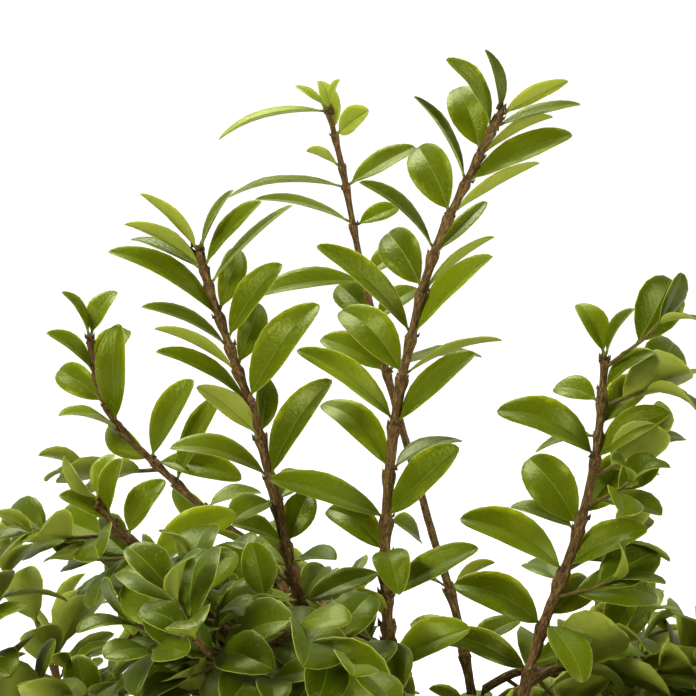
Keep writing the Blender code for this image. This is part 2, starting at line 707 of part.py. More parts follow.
def plan_boughs(stems):
    """Boughs, each from the tip of its main stem to where its leafy shoots begin."""
    boughs = {}
    for stem_name, stem in stems.items():
        mine = [row for row in BOUGHS if row[1] == stem_name]
        tip, heading = along(stem.route, 1)
        targets = [mm(*row[2]) for row in mine]
        feet = branch_starts(tip, heading, targets, BOUGH_RADII[0])
        for row, target, foot in zip(mine, targets, feet):
            arriving = Vector(row[3]).normalized()
            route = forked_route(foot, heading, target, arriving, BOUGH_RADII[0], LIMB_POINTS)
            boughs[row[0]] = Limb("bough_" + row[0], route, *BOUGH_RADII)
    return boughs


def spray_aim(tip, turn, elevation, length):
    """Where a spray's stem ends: turned from its bough's azimuth, at an elevation."""
    azimuth = math.atan2(tip.y, tip.x) + math.radians(turn)
    rise = math.radians(elevation)
    level = math.cos(rise)
    heading = Vector((level * math.cos(azimuth), level * math.sin(azimuth), math.sin(rise)))
    return tip + heading * length * MM


def stem_cage(limb):
    """A prism round a limb from just off its foot, which claims the limb's space."""
    route = [limb.route[0].lerp(limb.route[1], 0.2)] + limb.route[1:]
    return tube_cage(route, limb.foot + CLEARANCE, limb.tip + CLEARANCE)


def open_aim(tip, spray, claims, *ignored):
    """The aim of a spray, swung round its bough's tip to the first way that is open."""
    turn, elevation, length = spray
    for nudge in STEM_NUDGES:
        aim = spray_aim(tip, turn + nudge, elevation, length)
        way = Limb("way", [tip, tip.lerp(aim, 0.1), aim], 2 * SPRAY_RADII[0], 2 * SPRAY_RADII[0])
        if claims.free(stem_cage(way), *ignored):
            return aim
    return None


def plan_masses(boughs, claims):
    """Stems and twigs of every mass of foliage, before any leaf is set."""
    masses = {}
    for name, _, _, _, shoot, _ in BOUGHS:
        if shoot:
            route = spline_route([mm(*point) for point in shoot[0]], 2)
            claims.add(stem_cage(Limb(name, route, *SHOOT_RADII)), "shoot_" + name)
    for name, _, _, _, shoot, sprays in BOUGHS:
        bough = boughs[name]
        tip, heading = along(bough.route, 1)
        own = bough.name, "shoot_" + name
        aims = [open_aim(tip, spray, claims, *own) for spray in sprays]
        aims = [aim for aim in aims if aim]
        first = [mm(*shoot[0][1])] if shoot else []
        feet = branch_starts(tip, heading, first + aims, SHOOT_RADII[0])
        if shoot:
            foot = feet.pop(0)
            neck = foot + heading * SHOOT_RADII[0]
            route = [foot] + spline_route([neck] + [mm(*point) for point in shoot[0][1:]], 2)
            limb = Limb("shoot_" + name, route, *SHOOT_RADII)
            masses[limb.name] = {"stem": limb, "twigs": [], "rows": shoot[1]}
        for rank, (aim, foot) in enumerate(zip(aims, feet), 1):
            arriving = ((aim - tip).normalized() + UP * 0.5).normalized()
            route = forked_route(foot, heading, aim, arriving, SPRAY_RADII[0], SPRAY_POINTS)
            limb = Limb(f"spray_{name}_{rank}", route, *SPRAY_RADII)
            if claims.free(stem_cage(limb), *own):
                claims.add(stem_cage(limb), limb.name)
                masses[limb.name] = {"stem": limb, "twigs": [], "rows": None}
    for seed, (name, mass) in enumerate(masses.items()):
        if mass["rows"] is None:
            rng = random.Random(500 + seed)
            mass["twigs"] = side_twigs(rng, name, mass["stem"].route, claims)
    return masses


def settle(leaf, owner, claims):
    """The leaf swung round its node to the first place where it touches nothing, or None."""
    for nudge in NUDGES:
        swing = Matrix.Rotation(math.radians(nudge), 3, "Z")
        swung = leaf._replace(chord=swing @ leaf.chord, normal=swing @ leaf.normal)
        cage = leaf_cage(swung)
        if claims.free(cage, owner):
            claims.add(cage, "leaf")
            return swung
    return None


def set_leaves(masses, claims):
    """Leaves of every mass, the laid-out shoots first. A leaf that would touch anything is left out."""
    order = sorted(masses, key=lambda name: masses[name]["rows"] is None)
    for seed, name in enumerate(order):
        mass = masses[name]
        rng = random.Random(900 + seed)
        stem = mass["stem"]
        if mass["rows"]:
            wanted = [(stem.name, leaf) for leaf in shoot_leaves(stem.route, mass["rows"])]
        else:
            wanted = []
            for limb, first, size in [(stem, 13, 1.0)] + [(twig, 12, 0.95) for twig in mass["twigs"]]:
                grown = rule_leaves(rng, limb.route, first * MM, NODE_SPACING, LEAF_LENGTH * size)
                wanted += [(limb.name, leaf) for leaf in grown if in_crown(leaf)]
        mass["leaves"] = []
        for owner, leaf in wanted:
            settled = settle(leaf, owner, claims)
            if settled:
                mass["leaves"].append(settled)


def build_pot(parts, helpers, finish):
    rim_foot = POT_HEIGHT - POT_RIM_HEIGHT
    inner_top = POT_RIM_RADIUS - POT_WALL - 1 * MM
    inner_foot = POT_FOOT_RADIUS - POT_WALL
    profile = [
        (0, POT_WALL),
        (inner_foot - 3 * MM, POT_WALL),
        (inner_foot, POT_WALL + 3 * MM),
        (inner_top, POT_HEIGHT - 2 * MM),
        (inner_top + 2 * MM, POT_HEIGHT),
        (POT_RIM_RADIUS - 2 * MM, POT_HEIGHT),
        (POT_RIM_RADIUS, POT_HEIGHT - 2 * MM),
        (POT_RIM_RADIUS - 1.5 * MM, rim_foot + 2 * MM),
        (POT_RIM_RADIUS - 3.5 * MM, rim_foot),
        (POT_NECK_RADIUS, rim_foot - 1 * MM),
        (POT_FOOT_RADIUS, 2 * MM),
        (POT_FOOT_RADIUS - 2 * MM, 0),
        (0, 0),
    ]
    pot = turned("pot", profile, POT_STEPS, parts, finish)
    for step in range(DRAIN_COUNT):
        turn = 2 * math.pi * (step + 0.25) / DRAIN_COUNT
        shape = bmesh.new()
        spot = Vector((math.cos(turn), math.sin(turn), 0)) * DRAIN_CIRCLE
        bmesh.ops.create_cone(
            shape,
            cap_ends=True,
            segments=12,
            radius1=DRAIN_RADIUS,
            radius2=DRAIN_RADIUS,
            depth=4 * POT_WALL,
            matrix=Matrix.Translation(spot),
        )
        mesh = bpy.data.meshes.new("drain_cutter")
        shape.to_mesh(mesh)
        shape.free()
        cutter = place(f"drain_cutter_{step + 1}", mesh, helpers, None)
        cutter.hide_render = True
        cutter.display_type = "WIRE"
        cut = pot.modifiers.new(f"drain_{step + 1}", "BOOLEAN")
        cut.operation = "DIFFERENCE"
        cut.object = cutter


def build_soil(parts, finish):
    """Compost that fills the pot to a flat top, a gap clear of the wall."""
    inner_top = POT_RIM_RADIUS - POT_WALL - 1 * MM
    inner_foot = POT_FOOT_RADIUS - POT_WALL
    slope = (inner_top - inner_foot) / (POT_HEIGHT - 2 * MM - POT_WALL - 3 * MM)
    top = POT_HEIGHT - SOIL_DEPTH
    edge = inner_foot + slope * (top - POT_WALL - 3 * MM) - 2 * GAP
    profile = [
        (0, top),
        (edge, top),
        (inner_foot - 2 * GAP, POT_WALL + 3 * MM),
        (inner_foot - 3 * MM - GAP, POT_WALL + GAP),
        (0, POT_WALL + GAP),
    ]
    turned("compost", profile, POT_STEPS, parts, finish)


def build_root_crown(parts, finish):
    """The woody base, flared where it meets the compost."""
    foot = POT_HEIGHT - SOIL_DEPTH + GAP
    flare = [(1.0, 0.0), (0.86, 0.12), (0.74, 0.32), (0.66, 0.62)]
    profile = [(0, foot + CROWN_HEIGHT), (CROWN_TOP_RADIUS, foot + CROWN_HEIGHT)]
    profile += [(CROWN_FLARE * wide, foot + CROWN_HEIGHT * high) for wide, high in reversed(flare)]
    profile += [(0, foot)]
    turned("root_crown", profile, CROWN_STEPS, parts, finish)


def build_mass(name, mass, parts, section, finish):
    stem = tapered_tube(name, mass["stem"], parts, finish, section)
    pieces = new_collection(name + "_pieces")
    for twig in mass["twigs"]:
        tapered_tube(twig.name, twig, pieces, None, section)
    for rank, leaf in enumerate(mass["leaves"]):
        leaf_solid(f"{name}_leaf_{rank}", leaf, pieces)
    fuse(stem, pieces, "leaves_and_twigs")


def main():
    clear_scene()
    parts = new_collection("potted_box_honeysuckle")
    helpers = new_collection("helpers")
    clay = material("clay", (0.50, 0.20, 0.10), 0.85)
    compost = material("compost", (0.045, 0.028, 0.018), 0.95)
    bark = material("bark", (0.15, 0.09, 0.05), 0.8)
    foliage = material("foliage", (0.13, 0.21, 0.02), 0.4)

    build_pot(parts, helpers, clay)
    build_soil(parts, compost)
    build_root_crown(parts, bark)

    claims = Claims()
    stems = plan_main_stems()
    boughs = plan_boughs(stems)
    for limb in list(stems.values()) + list(boughs.values()):
        tapered_tube(limb.name, limb, parts, bark)
        cage = tube_cage(limb.route, limb.foot + CLEARANCE, limb.tip + CLEARANCE, LIMB_SIDES)
        claims.add(cage, limb.name)

    masses = plan_masses(boughs, claims)
    set_leaves(masses, claims)
    section = triangle_profile(helpers)
    for name, mass in masses.items():
        build_mass(name, mass, parts, section, foliage)
    print(len(masses), "masses,", sum(len(mass["leaves"]) for mass in masses.values()), "leaves")


main()
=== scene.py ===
"""Looks of a potted box honeysuckle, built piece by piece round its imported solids.

The file follows the plant as it is put together: the clay pot, its compost, the root crown, the main stems
and boughs, the leafy shoots, the twigs of the close crown, the leaves, and last the studio. Sizes are in
metres unless a name or a comment says millimetres, +Z is up, and the origin is at the middle of the pot's
underside.
"""

import math
import random
from collections import defaultdict, namedtuple

import bmesh
import bpy
import numpy as np
from mathutils import Matrix, Vector, noise
from mathutils.bvhtree import BVHTree


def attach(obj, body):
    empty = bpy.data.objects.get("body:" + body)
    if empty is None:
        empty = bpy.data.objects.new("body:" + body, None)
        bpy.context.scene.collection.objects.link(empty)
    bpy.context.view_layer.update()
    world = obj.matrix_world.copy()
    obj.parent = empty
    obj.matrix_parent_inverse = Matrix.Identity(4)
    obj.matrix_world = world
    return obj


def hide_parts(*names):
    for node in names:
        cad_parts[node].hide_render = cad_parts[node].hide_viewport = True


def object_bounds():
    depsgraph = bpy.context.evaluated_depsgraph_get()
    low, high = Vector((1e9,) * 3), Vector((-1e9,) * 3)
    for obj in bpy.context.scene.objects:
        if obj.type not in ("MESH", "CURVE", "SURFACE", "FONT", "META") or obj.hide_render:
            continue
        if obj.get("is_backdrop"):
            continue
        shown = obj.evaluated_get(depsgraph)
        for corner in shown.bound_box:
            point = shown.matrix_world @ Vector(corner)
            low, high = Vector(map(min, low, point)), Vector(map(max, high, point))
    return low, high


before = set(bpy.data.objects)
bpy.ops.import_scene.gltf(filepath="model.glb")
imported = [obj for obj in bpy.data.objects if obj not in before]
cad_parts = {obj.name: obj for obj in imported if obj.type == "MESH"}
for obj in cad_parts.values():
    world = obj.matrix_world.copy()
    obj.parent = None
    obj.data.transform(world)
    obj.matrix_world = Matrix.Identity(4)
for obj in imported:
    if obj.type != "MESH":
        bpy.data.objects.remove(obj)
cad_low, cad_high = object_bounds()

# ---- Clay pot
# The usual terracotta pot: pressed red clay, fired and left unglazed, with a thick collar round its rim and
# three drain holes in its foot. Watering has left it darker at the foot and chalky in patches.

MM = 0.001
POT_SIDES = 96

# The pot's outline as (radius, height) in millimetres, from its foot over the rim and down inside.
POT_FOOT = [(50, 0), (52, 2)]
POT_WALL = [(52 + 1.5 * step, 2 + 9 * step) for step in range(1, 13)]
POT_RIM = [
    (74.6, 110.6), (75.8, 111.2), (77.3, 112.6), (77.6, 115), (78.1, 121), (78.6, 127), (78.95, 131.5),
    (78.8, 133.2), (78.0, 134.5), (76.8, 135), (75.4, 134.9), (74.0, 134.4), (73.0, 133.2), (72.2, 130.5),
    (71.4, 127), (70.4, 122), (68.9, 116),
]
POT_INSIDE = [(66, 100), (60, 72), (54, 43), (48, 16), (45.6, 9.5), (42.5, 6.5)]
POT_WAVES = ((0.32, 24), (0.10, 7))  # depth and width of the clay's waves, in millimetres
FLAT_RADIUS, FLAT_HEIGHT = 44 * MM, 1 * MM  # the foot stays flat within these
DRAIN_RADIUS = 6 * MM
DRAIN_CIRCLE = 28 * MM
DRAIN_COUNT = 3
CLAY = {
    "dark": (0.46, 0.165, 0.078),
    "light": (0.58, 0.25, 0.135),
    "speck": (0.33, 0.11, 0.05),
    "damp": (0.25, 0.085, 0.045),
    "chalk": (0.70, 0.52, 0.40),
}


def start_piece(name, add_primitive, **sizes):
    """Adds a primitive at its size and place, as a new piece whose object sits at the origin."""
    bpy.ops.object.select_all(action="DESELECT")
    add_primitive(**sizes)
    piece = bpy.context.object
    piece.name = piece.data.name = name
    bpy.ops.object.transform_apply(location=True, rotation=True, scale=True)
    return piece


def draw_up(name, sides, foot, rings):
    """Draws a round piece up from a low cone, ring by ring, each (radius, height) in millimetres.

    The piece is left in edit mode, with the face that its last ring bounds selected.
    """
    (flat, low), (radius, height) = foot
    piece = start_piece(
        name,
        bpy.ops.mesh.primitive_cone_add,
        vertices=sides,
        radius1=flat * MM,
        radius2=radius * MM,
        depth=(height - low) * MM,
        location=(0, 0, (height + low) / 2 * MM),
    )
    bpy.ops.object.mode_set(mode="EDIT")
    bpy.ops.mesh.select_mode(type="FACE")
    bpy.ops.mesh.select_all(action="DESELECT")
    shape = bmesh.from_edit_mesh(piece.data)
    for face in shape.faces:
        face.select = face.normal.z > 0.9
    bmesh.update_edit_mesh(piece.data)
    for wider, higher in rings:
        bpy.ops.mesh.extrude_region_move(TRANSFORM_OT_translate={"value": (0, 0, (higher - height) * MM)})
        share = wider / radius
        bpy.ops.transform.resize(value=(share, share, 1), center_override=(0, 0, higher * MM))
        radius, height = wider, higher
    return piece


def waves(place, sizes):
    """Soft random rises and hollows at a place, all in millimetres, each size given as (depth, width)."""
    return sum(depth * noise.noise(place / width) for depth, width in sizes)


def add_node(tree, kind, feeds=None, **settings):
    """Adds a node with its settings, and feeds its inputs with numbers or with other nodes' sockets."""
    node = tree.nodes.new(kind)
    for key, value in settings.items():
        setattr(node, key, value)
    for key, value in (feeds or {}).items():
        if isinstance(value, bpy.types.NodeSocket):
            tree.links.new(value, node.inputs[key])
        else:
            node.inputs[key].default_value = value
    return node


def ranged(tree, value, start, end, low=0.0, high=1.0, kind="LINEAR"):
    """A value that runs from start to end, made to run from low to high and kept between them."""
    feeds = {"Value": value, "From Min": start, "From Max": end, "To Min": low, "To Max": high}
    return add_node(tree, "ShaderNodeMapRange", feeds, interpolation_type=kind).outputs["Result"]


def noise_mask(tree, place, scale, low, high, detail=3.0):
    """Noise of so many blotches a metre, sharpened between two levels."""
    cloud = add_node(tree, "ShaderNodeTexNoise", {"Vector": place, "Scale": scale, "Detail": detail})
    return ranged(tree, cloud.outputs["Fac"], low, high)


def tinted(tree, mask, under, over):
    """One colour laid over another where the mask is light."""
    mix = add_node(tree, "ShaderNodeMix", {0: mask}, data_type="RGBA")
    for index, colour in ((6, under), (7, over)):
        if isinstance(colour, bpy.types.NodeSocket):
            tree.links.new(colour, mix.inputs[index])
        else:
            mix.inputs[index].default_value = (*colour, 1)
    return mix.outputs[2]


def reckon(tree, operation, *values):
    """One or two masks or numbers put through a step of arithmetic."""
    return add_node(tree, "ShaderNodeMath", dict(enumerate(values)), operation=operation).outputs[0]


def product(tree, one, other):
    """A mask made weaker, or masks laid over each other."""
    return reckon(tree, "MULTIPLY", one, other)


def blend(tree, *parts):
    """Masks added up, each given with its weight."""
    weighted = [product(tree, mask, weight) if weight != 1 else mask for mask, weight in parts]
    mixed = weighted[0]
    for part in weighted[1:]:
        mixed = reckon(tree, "ADD", mixed, part)
    return mixed


def finish_of(name, **constants):
    """A new material and its tree and shader, with the constants set on the shader's own sockets."""
    made = bpy.data.materials.new(name)
    made.use_nodes = True
    shader = made.node_tree.nodes["Principled BSDF"]
    for key, value in constants.items():
        shader.inputs[key.replace("_", " ")].default_value = value
    return made, made.node_tree, shader


def coat(tree, shader, colour, mask, smooth, rough):
    """Feeds the shader its colour, and a roughness that follows a mask from smooth to rough."""
    tree.links.new(colour, shader.inputs["Base Color"])
    tree.links.new(ranged(tree, mask, 0.0, 1.0, smooth, rough), shader.inputs["Roughness"])


def roughen(tree, shader, height, distance, strength=1.0):
    """Feeds a height through a bump to the shader's normal."""
    bump = add_node(tree, "ShaderNodeBump", {"Height": height, "Distance": distance, "Strength": strength})
    tree.links.new(bump.outputs["Normal"], shader.inputs["Normal"])


def new_group(name, takes, gives):
    """A node group with its named inputs and outputs. Place is a vector, and the rest are numbers."""
    group = bpy.data.node_groups.new(name, "ShaderNodeTree")
    for side, labels in (("INPUT", takes), ("OUTPUT", gives)):
        for label in labels:
            kind = "NodeSocketVector" if label == "Place" else "NodeSocketFloat"
            group.interface.new_socket(label, in_out=side, socket_type=kind)
    return group


def earthen_grain():
    """The node group for earthy surfaces: soft blotches, fine speckle and a pitted height."""
    group = new_group("earthen_grain", ("Place", "Blotches", "Speckles"), ("Blotch", "Speckle", "Height"))
    given = add_node(group, "NodeGroupInput").outputs
    blotch = noise_mask(group, given["Place"], given["Blotches"], 0.36, 0.66, 4.0)
    speckle = noise_mask(group, given["Place"], given["Speckles"], 0.42, 0.68, 2.0)
    pits = blend(group, (speckle, 1), (blotch, 0.4))
    add_node(group, "NodeGroupOutput", {"Blotch": blotch, "Speckle": speckle, "Height": pits})
    return group


EARTHEN_GRAIN = earthen_grain()


def grain_in(tree, place, blotches, speckles):
    """Places the earthen grain in a material, with its own sizes in blotches and speckles a metre."""
    feeds = {"Place": place, "Blotches": blotches, "Speckles": speckles}
    return add_node(tree, "ShaderNodeGroup", feeds, node_tree=EARTHEN_GRAIN).outputs


def object_place(tree):
    """The place of each point on the piece, in metres."""
    return add_node(tree, "ShaderNodeTexCoord").outputs["Object"]


def height_band(tree, low, high):
    """A mask that goes softly from 0 to 1 between two heights in millimetres."""
    height = add_node(tree, "ShaderNodeSeparateXYZ", {0: object_place(tree)}).outputs["Z"]
    return ranged(tree, height, low * MM, high * MM, kind="SMOOTHSTEP")


def terracotta():
    """Unglazed clay: blotches and specks, a damp foot, chalky patches above, and fine level turning lines."""
    made, tree, shader = finish_of("terracotta")
    place = object_place(tree)
    grain = grain_in(tree, place, 34.0, 900.0)
    damp = product(tree, height_band(tree, 42, 4), noise_mask(tree, place, 26.0, 0.2, 0.62))
    chalky = product(tree, height_band(tree, 62, 128), noise_mask(tree, place, 42.0, 0.52, 0.74, 6.0))
    colour = tinted(tree, grain["Blotch"], CLAY["dark"], CLAY["light"])
    layers = ("speck", grain["Speckle"], 0.35), ("damp", damp, 0.75), ("chalk", chalky, 0.55)
    for key, mask, weight in layers:
        colour = tinted(tree, product(tree, mask, weight), colour, CLAY[key])
    coat(tree, shader, colour, grain["Blotch"], 0.74, 0.92)
    bands = {"Vector": place, "Scale": 210.0, "Distortion": 1.6, "Detail": 2.0, "Detail Scale": 0.4}
    lines = add_node(tree, "ShaderNodeTexWave", bands, bands_direction="Z").outputs["Fac"]
    roughen(tree, shader, blend(tree, (grain["Height"], 1), (lines, 0.35)), 0.35 * MM, 0.6)
    return made


def hand_over(piece, finishes, slot, *nodes):
    """Gives a piece its finishes, and says which solids it stands for. Its slot is not used."""
    piece.data.materials.clear()
    for finish in finishes:
        piece.data.materials.append(finish)
    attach(piece, "root")
    if nodes:
        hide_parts(*nodes)


pot = draw_up("clay_pot", POT_SIDES, POT_FOOT, POT_WALL + POT_RIM + POT_INSIDE)
bpy.ops.object.mode_set(mode="OBJECT")
for vertex in pot.data.vertices:
    outward = Vector((vertex.co.x, vertex.co.y, 0))
    if vertex.co.z > FLAT_HEIGHT and outward.length > FLAT_RADIUS:
        vertex.co += outward.normalized() * waves(vertex.co / MM, POT_WAVES) * MM
for step in range(DRAIN_COUNT):
    turn = 2 * math.pi * (step + 0.25) / DRAIN_COUNT
    cutter = start_piece(
        "drain_cutter",
        bpy.ops.mesh.primitive_cylinder_add,
        vertices=32,
        radius=DRAIN_RADIUS,
        depth=4 * DRAIN_RADIUS,
        location=(DRAIN_CIRCLE * math.cos(turn), DRAIN_CIRCLE * math.sin(turn), 0),
    )
    cut = pot.modifiers.new("drain", "BOOLEAN")
    cut.operation = "DIFFERENCE"
    cut.object = cutter
    bpy.context.view_layer.objects.active = pot
    bpy.ops.object.modifier_apply(modifier=cut.name)
    bpy.data.objects.remove(cutter)
bpy.ops.object.select_all(action="DESELECT")
pot.select_set(True)
bpy.ops.object.shade_smooth_by_angle(angle=math.radians(40))
hand_over(pot, [terracotta()], "clay", "pot")

# ---- Compost
# Dark peaty compost that fills the pot to 15 mm under its rim, settled into small hollows by watering, with
# loose crumbs, shreds of bark and a few pale bits of grit on top.

SOIL_TOP, SOIL_EDGE = 120, 68.6  # height and radius of the compost's top, in millimetres
SOIL_FOOT = [(42, 6.9), (45, 9.9)]
SOIL_INSETS, INSET_STEP = 26, 2.5 * MM
SOIL_WAVES = ((1.3, 15), (0.9, 5.5), (0.4, 2.4))
MOUND, MOUND_WIDTH = 1.6, 26  # the rise round the plant, in millimetres
SINK, SINK_WIDTH = 1.4, 4  # the sinking where the compost has drawn away from the pot
SCATTER_RADIUS = 67.0  # how far from the middle loose bits lie, in millimetres
PEAT = (0.034, 0.021, 0.012), (0.080, 0.050, 0.029), (0.15, 0.10, 0.06)


def bed_rise(x, y):
    """How far the compost's top stands above its level at a place."""
    place = Vector((x, y, 0)) / MM
    from_middle = place.length
    mound = MOUND * math.exp(-((from_middle / MOUND_WIDTH) ** 2))
    sink = SINK * math.exp(-(((SOIL_EDGE - from_middle) / SINK_WIDTH) ** 2))
    return (mound - sink + waves(place, SOIL_WAVES)) * MM


def peat(name, dark, light, bright):
    """Peaty compost or what lies on it: blotches of two shades, brighter specks and a rough dull surface."""
    made, tree, shader = finish_of(name)
    grain = grain_in(tree, object_place(tree), 160.0, 1500.0)
    colour = tinted(tree, grain["Blotch"], dark, light)
    colour = tinted(tree, product(tree, grain["Speckle"], 0.55), colour, bright)
    coat(tree, shader, colour, grain["Speckle"], 0.8, 0.97)
    roughen(tree, shader, grain["Height"], 0.8 * MM)
    return made


def add_object(name, data):
    """Adds an object for a mesh, a lamp or a lens to the scene."""
    made = bpy.data.objects.new(name, data)
    bpy.context.scene.collection.objects.link(made)
    return made


def scatter(name, template, count, seed, sizes, squash, finish):
    """Copies a small primitive's mesh over the compost as one joined piece, each at its own turn and size."""
    rng = random.Random(seed)
    corners = [vertex.co.copy() for vertex in template.data.vertices]
    sides = [tuple(face.vertices) for face in template.data.polygons]
    points, faces = [], []
    for _ in range(count):
        reach = SCATTER_RADIUS * math.sqrt(rng.uniform(0.05, 1.0))
        turn = rng.uniform(0, 2 * math.pi)
        x, y = reach * math.cos(turn) * MM, reach * math.sin(turn) * MM
        size = rng.uniform(*sizes) * MM
        turned = Matrix.Rotation(rng.uniform(0, 2 * math.pi), 3, "Z")
        turned = turned @ Matrix.Rotation(rng.uniform(-0.5, 0.5), 3, "X")
        stretch = Matrix.Diagonal([side * rng.uniform(0.7, 1.3) for side in squash])
        middle = Vector((x, y, SOIL_TOP * MM + bed_rise(x, y) + 0.2 * size))
        faces += [tuple(len(points) + corner for corner in face) for face in sides]
        for corner in corners:
            points.append(middle + turned @ (stretch @ corner) * size * rng.uniform(0.85, 1.15))
    mesh = bpy.data.meshes.new(name)
    mesh.from_pydata(points, [], faces)
    bpy.data.objects.remove(template)
    hand_over(add_object(name, mesh), [finish], "compost")


bed = draw_up("compost_bed", POT_SIDES, SOIL_FOOT, [(SOIL_EDGE - 1.2, SOIL_TOP - 5), (SOIL_EDGE, SOIL_TOP)])
for _ in range(SOIL_INSETS):
    bpy.ops.mesh.inset(thickness=INSET_STEP)
bpy.ops.mesh.poke()
bpy.ops.object.mode_set(mode="OBJECT")
for vertex in bed.data.vertices:
    if vertex.co.z > (SOIL_TOP - 1) * MM:
        vertex.co.z += bed_rise(vertex.co.x, vertex.co.y)
bpy.ops.object.shade_smooth_by_angle(angle=math.radians(60))
hand_over(bed, [peat("peat", *PEAT)], "compost", "compost")

crumb = {"add_primitive": bpy.ops.mesh.primitive_ico_sphere_add, "subdivisions": 1, "radius": 1}
sliver = {"add_primitive": bpy.ops.mesh.primitive_cylinder_add, "vertices": 5, "radius": 0.28, "depth": 2}
sliver["rotation"] = (0, math.pi / 2, 0)
for name, shape, count, seed, sizes, squash, finish, colours in (
    ("compost_crumbs", crumb, 1500, 11, (0.5, 1.7), (1.0, 0.8, 0.65), "crumbs",
     ((0.046, 0.028, 0.016), (0.115, 0.072, 0.042), (0.20, 0.14, 0.085))),
    ("compost_shreds", sliver, 220, 12, (1.4, 4.0), (1.0, 1.0, 0.5), "bark_shreds",
     ((0.07, 0.04, 0.022), (0.15, 0.09, 0.05), (0.24, 0.16, 0.10))),
    ("compost_grit", crumb, 60, 13, (0.5, 1.2), (1.0, 0.9, 0.75), "grit",
     ((0.34, 0.31, 0.27), (0.60, 0.57, 0.52), (0.74, 0.72, 0.68))),
):
    scatter(name, start_piece("bit", **shape), count, seed, sizes, squash, peat(finish, *colours))

# ---- Root crown
# The gnarled woody base that the stems rise from. It flares into short root shoulders where it goes into the
# compost, and old pruning has left it knobbly. Its bark is the same flaking brown bark as the stems'.

CROWN_SIDES = 64
CROWN_FLARE, CROWN_FOOT, CROWN_TOP = 19.0, 120.3, 135.3  # the flare's radius and both heights, in millimetres
CROWN_RINGS = [
    (16.6, 122.1), (14.6, 125.1), (13.2, 128.4), (12.7, 131.6), (12.2, 134.0), (10.2, 135.6), (6.0, 136.3),
]
CROWN_KNOBS = ((0.8, 6), (0.5, 2.2))  # depth and width, in millimetres
SHOULDERS = ((0.16, 5, 0.8), (0.08, 3, 2.0))  # share that each set swells by, how many it has, and its turn
BARK_CLEFTS = (1900.0, 0.36, 0.60, 6.0)  # marks a metre, the levels that they show between, and detail
BARK_FLAKES = (1100.0, 0.50, 0.68, 6.0)
CLEFT_STRETCH, FLAKE_STRETCH, NO_STRETCH = (1.0, 1.0, 0.28), (1.0, 1.0, 0.35), (1.0, 1.0, 1.0)


def mark_points(mesh, name, places):
    """Gives every point its place along a limb or a leaf, for a pattern that follows the surface."""
    layer = mesh.attributes.new(name, "FLOAT_VECTOR", "POINT")
    layer.data.foreach_set("vector", np.asarray(places, np.float32).ravel())


def limb_place(tree, stretch):
    """That place on a limb in a material, stretched to the shape of the bark's marks."""
    told = add_node(tree, "ShaderNodeAttribute", attribute_name="limb_place").outputs["Vector"]
    return add_node(tree, "ShaderNodeMapping", {"Vector": told, "Scale": stretch}).outputs["Vector"]


def bark_finish(name, cleft, ground, flake, ruddy):
    """Bark: dark clefts that run along the limb, papery flakes and corky dots."""
    made, tree, shader = finish_of(name, Specular_IOR_Level=0.2)
    clefts = noise_mask(tree, limb_place(tree, CLEFT_STRETCH), *BARK_CLEFTS)
    flakes = noise_mask(tree, limb_place(tree, FLAKE_STRETCH), *BARK_FLAKES)
    grain = grain_in(tree, limb_place(tree, NO_STRETCH), 120.0, 2600.0)
    colour = tinted(tree, grain["Blotch"], ground, ruddy)
    colour = tinted(tree, product(tree, flakes, 0.55), colour, flake)
    colour = tinted(tree, clefts, cleft, colour)
    colour = tinted(tree, product(tree, grain["Speckle"], 0.22), colour, flake)
    coat(tree, shader, colour, flakes, 0.62, 0.88)
    roughen(tree, shader, blend(tree, (clefts, 0.7), (flakes, 0.5)), 0.35 * MM, 0.9)
    return made


OLD_BARK = bark_finish(
    "old_bark",
    cleft=(0.040, 0.022, 0.006),
    ground=(0.165, 0.105, 0.030),
    flake=(0.36, 0.27, 0.10),
    ruddy=(0.180, 0.090, 0.027),
)
crown_base = [(CROWN_FLARE + 2, CROWN_FOOT - 2.2), (CROWN_FLARE, CROWN_FOOT + 0.2)]
crown = draw_up("root_burl", CROWN_SIDES, crown_base, CROWN_RINGS)
bpy.ops.mesh.poke()
bpy.ops.mesh.select_all(action="SELECT")
bpy.ops.mesh.subdivide(number_cuts=1, smoothness=0.6)
bpy.ops.object.mode_set(mode="OBJECT")
grown = []
for vertex in crown.data.vertices:
    turn = math.atan2(vertex.co.y, vertex.co.x)
    down = 1 - (vertex.co.z / MM - CROWN_FOOT) / (CROWN_TOP - CROWN_FOOT)
    grown.append((CROWN_FLARE * MM * math.cos(turn), CROWN_FLARE * MM * math.sin(turn), vertex.co.z))
    shoulders = sum(share * math.cos(count * turn + offset) for share, count, offset in SHOULDERS)
    knobs = waves(vertex.co / MM, CROWN_KNOBS)
    swell = 1 + shoulders * max(down, 0.0) ** 1.3 + 0.09 * knobs
    lift = 0.5 * knobs * MM * (1 - down * 0.7)
    vertex.co = Vector((vertex.co.x * swell, vertex.co.y * swell, vertex.co.z + lift))
mark_points(crown.data, "limb_place", grown)
bpy.ops.object.shade_smooth()
hand_over(crown, [OLD_BARK], "bark", "root_crown")

# ---- Main stems and boughs
# Five woody stems rise from the root crown and fork into fourteen boughs. Each fork swells where the limbs
# part, and the brown bark is ridged along the wood.

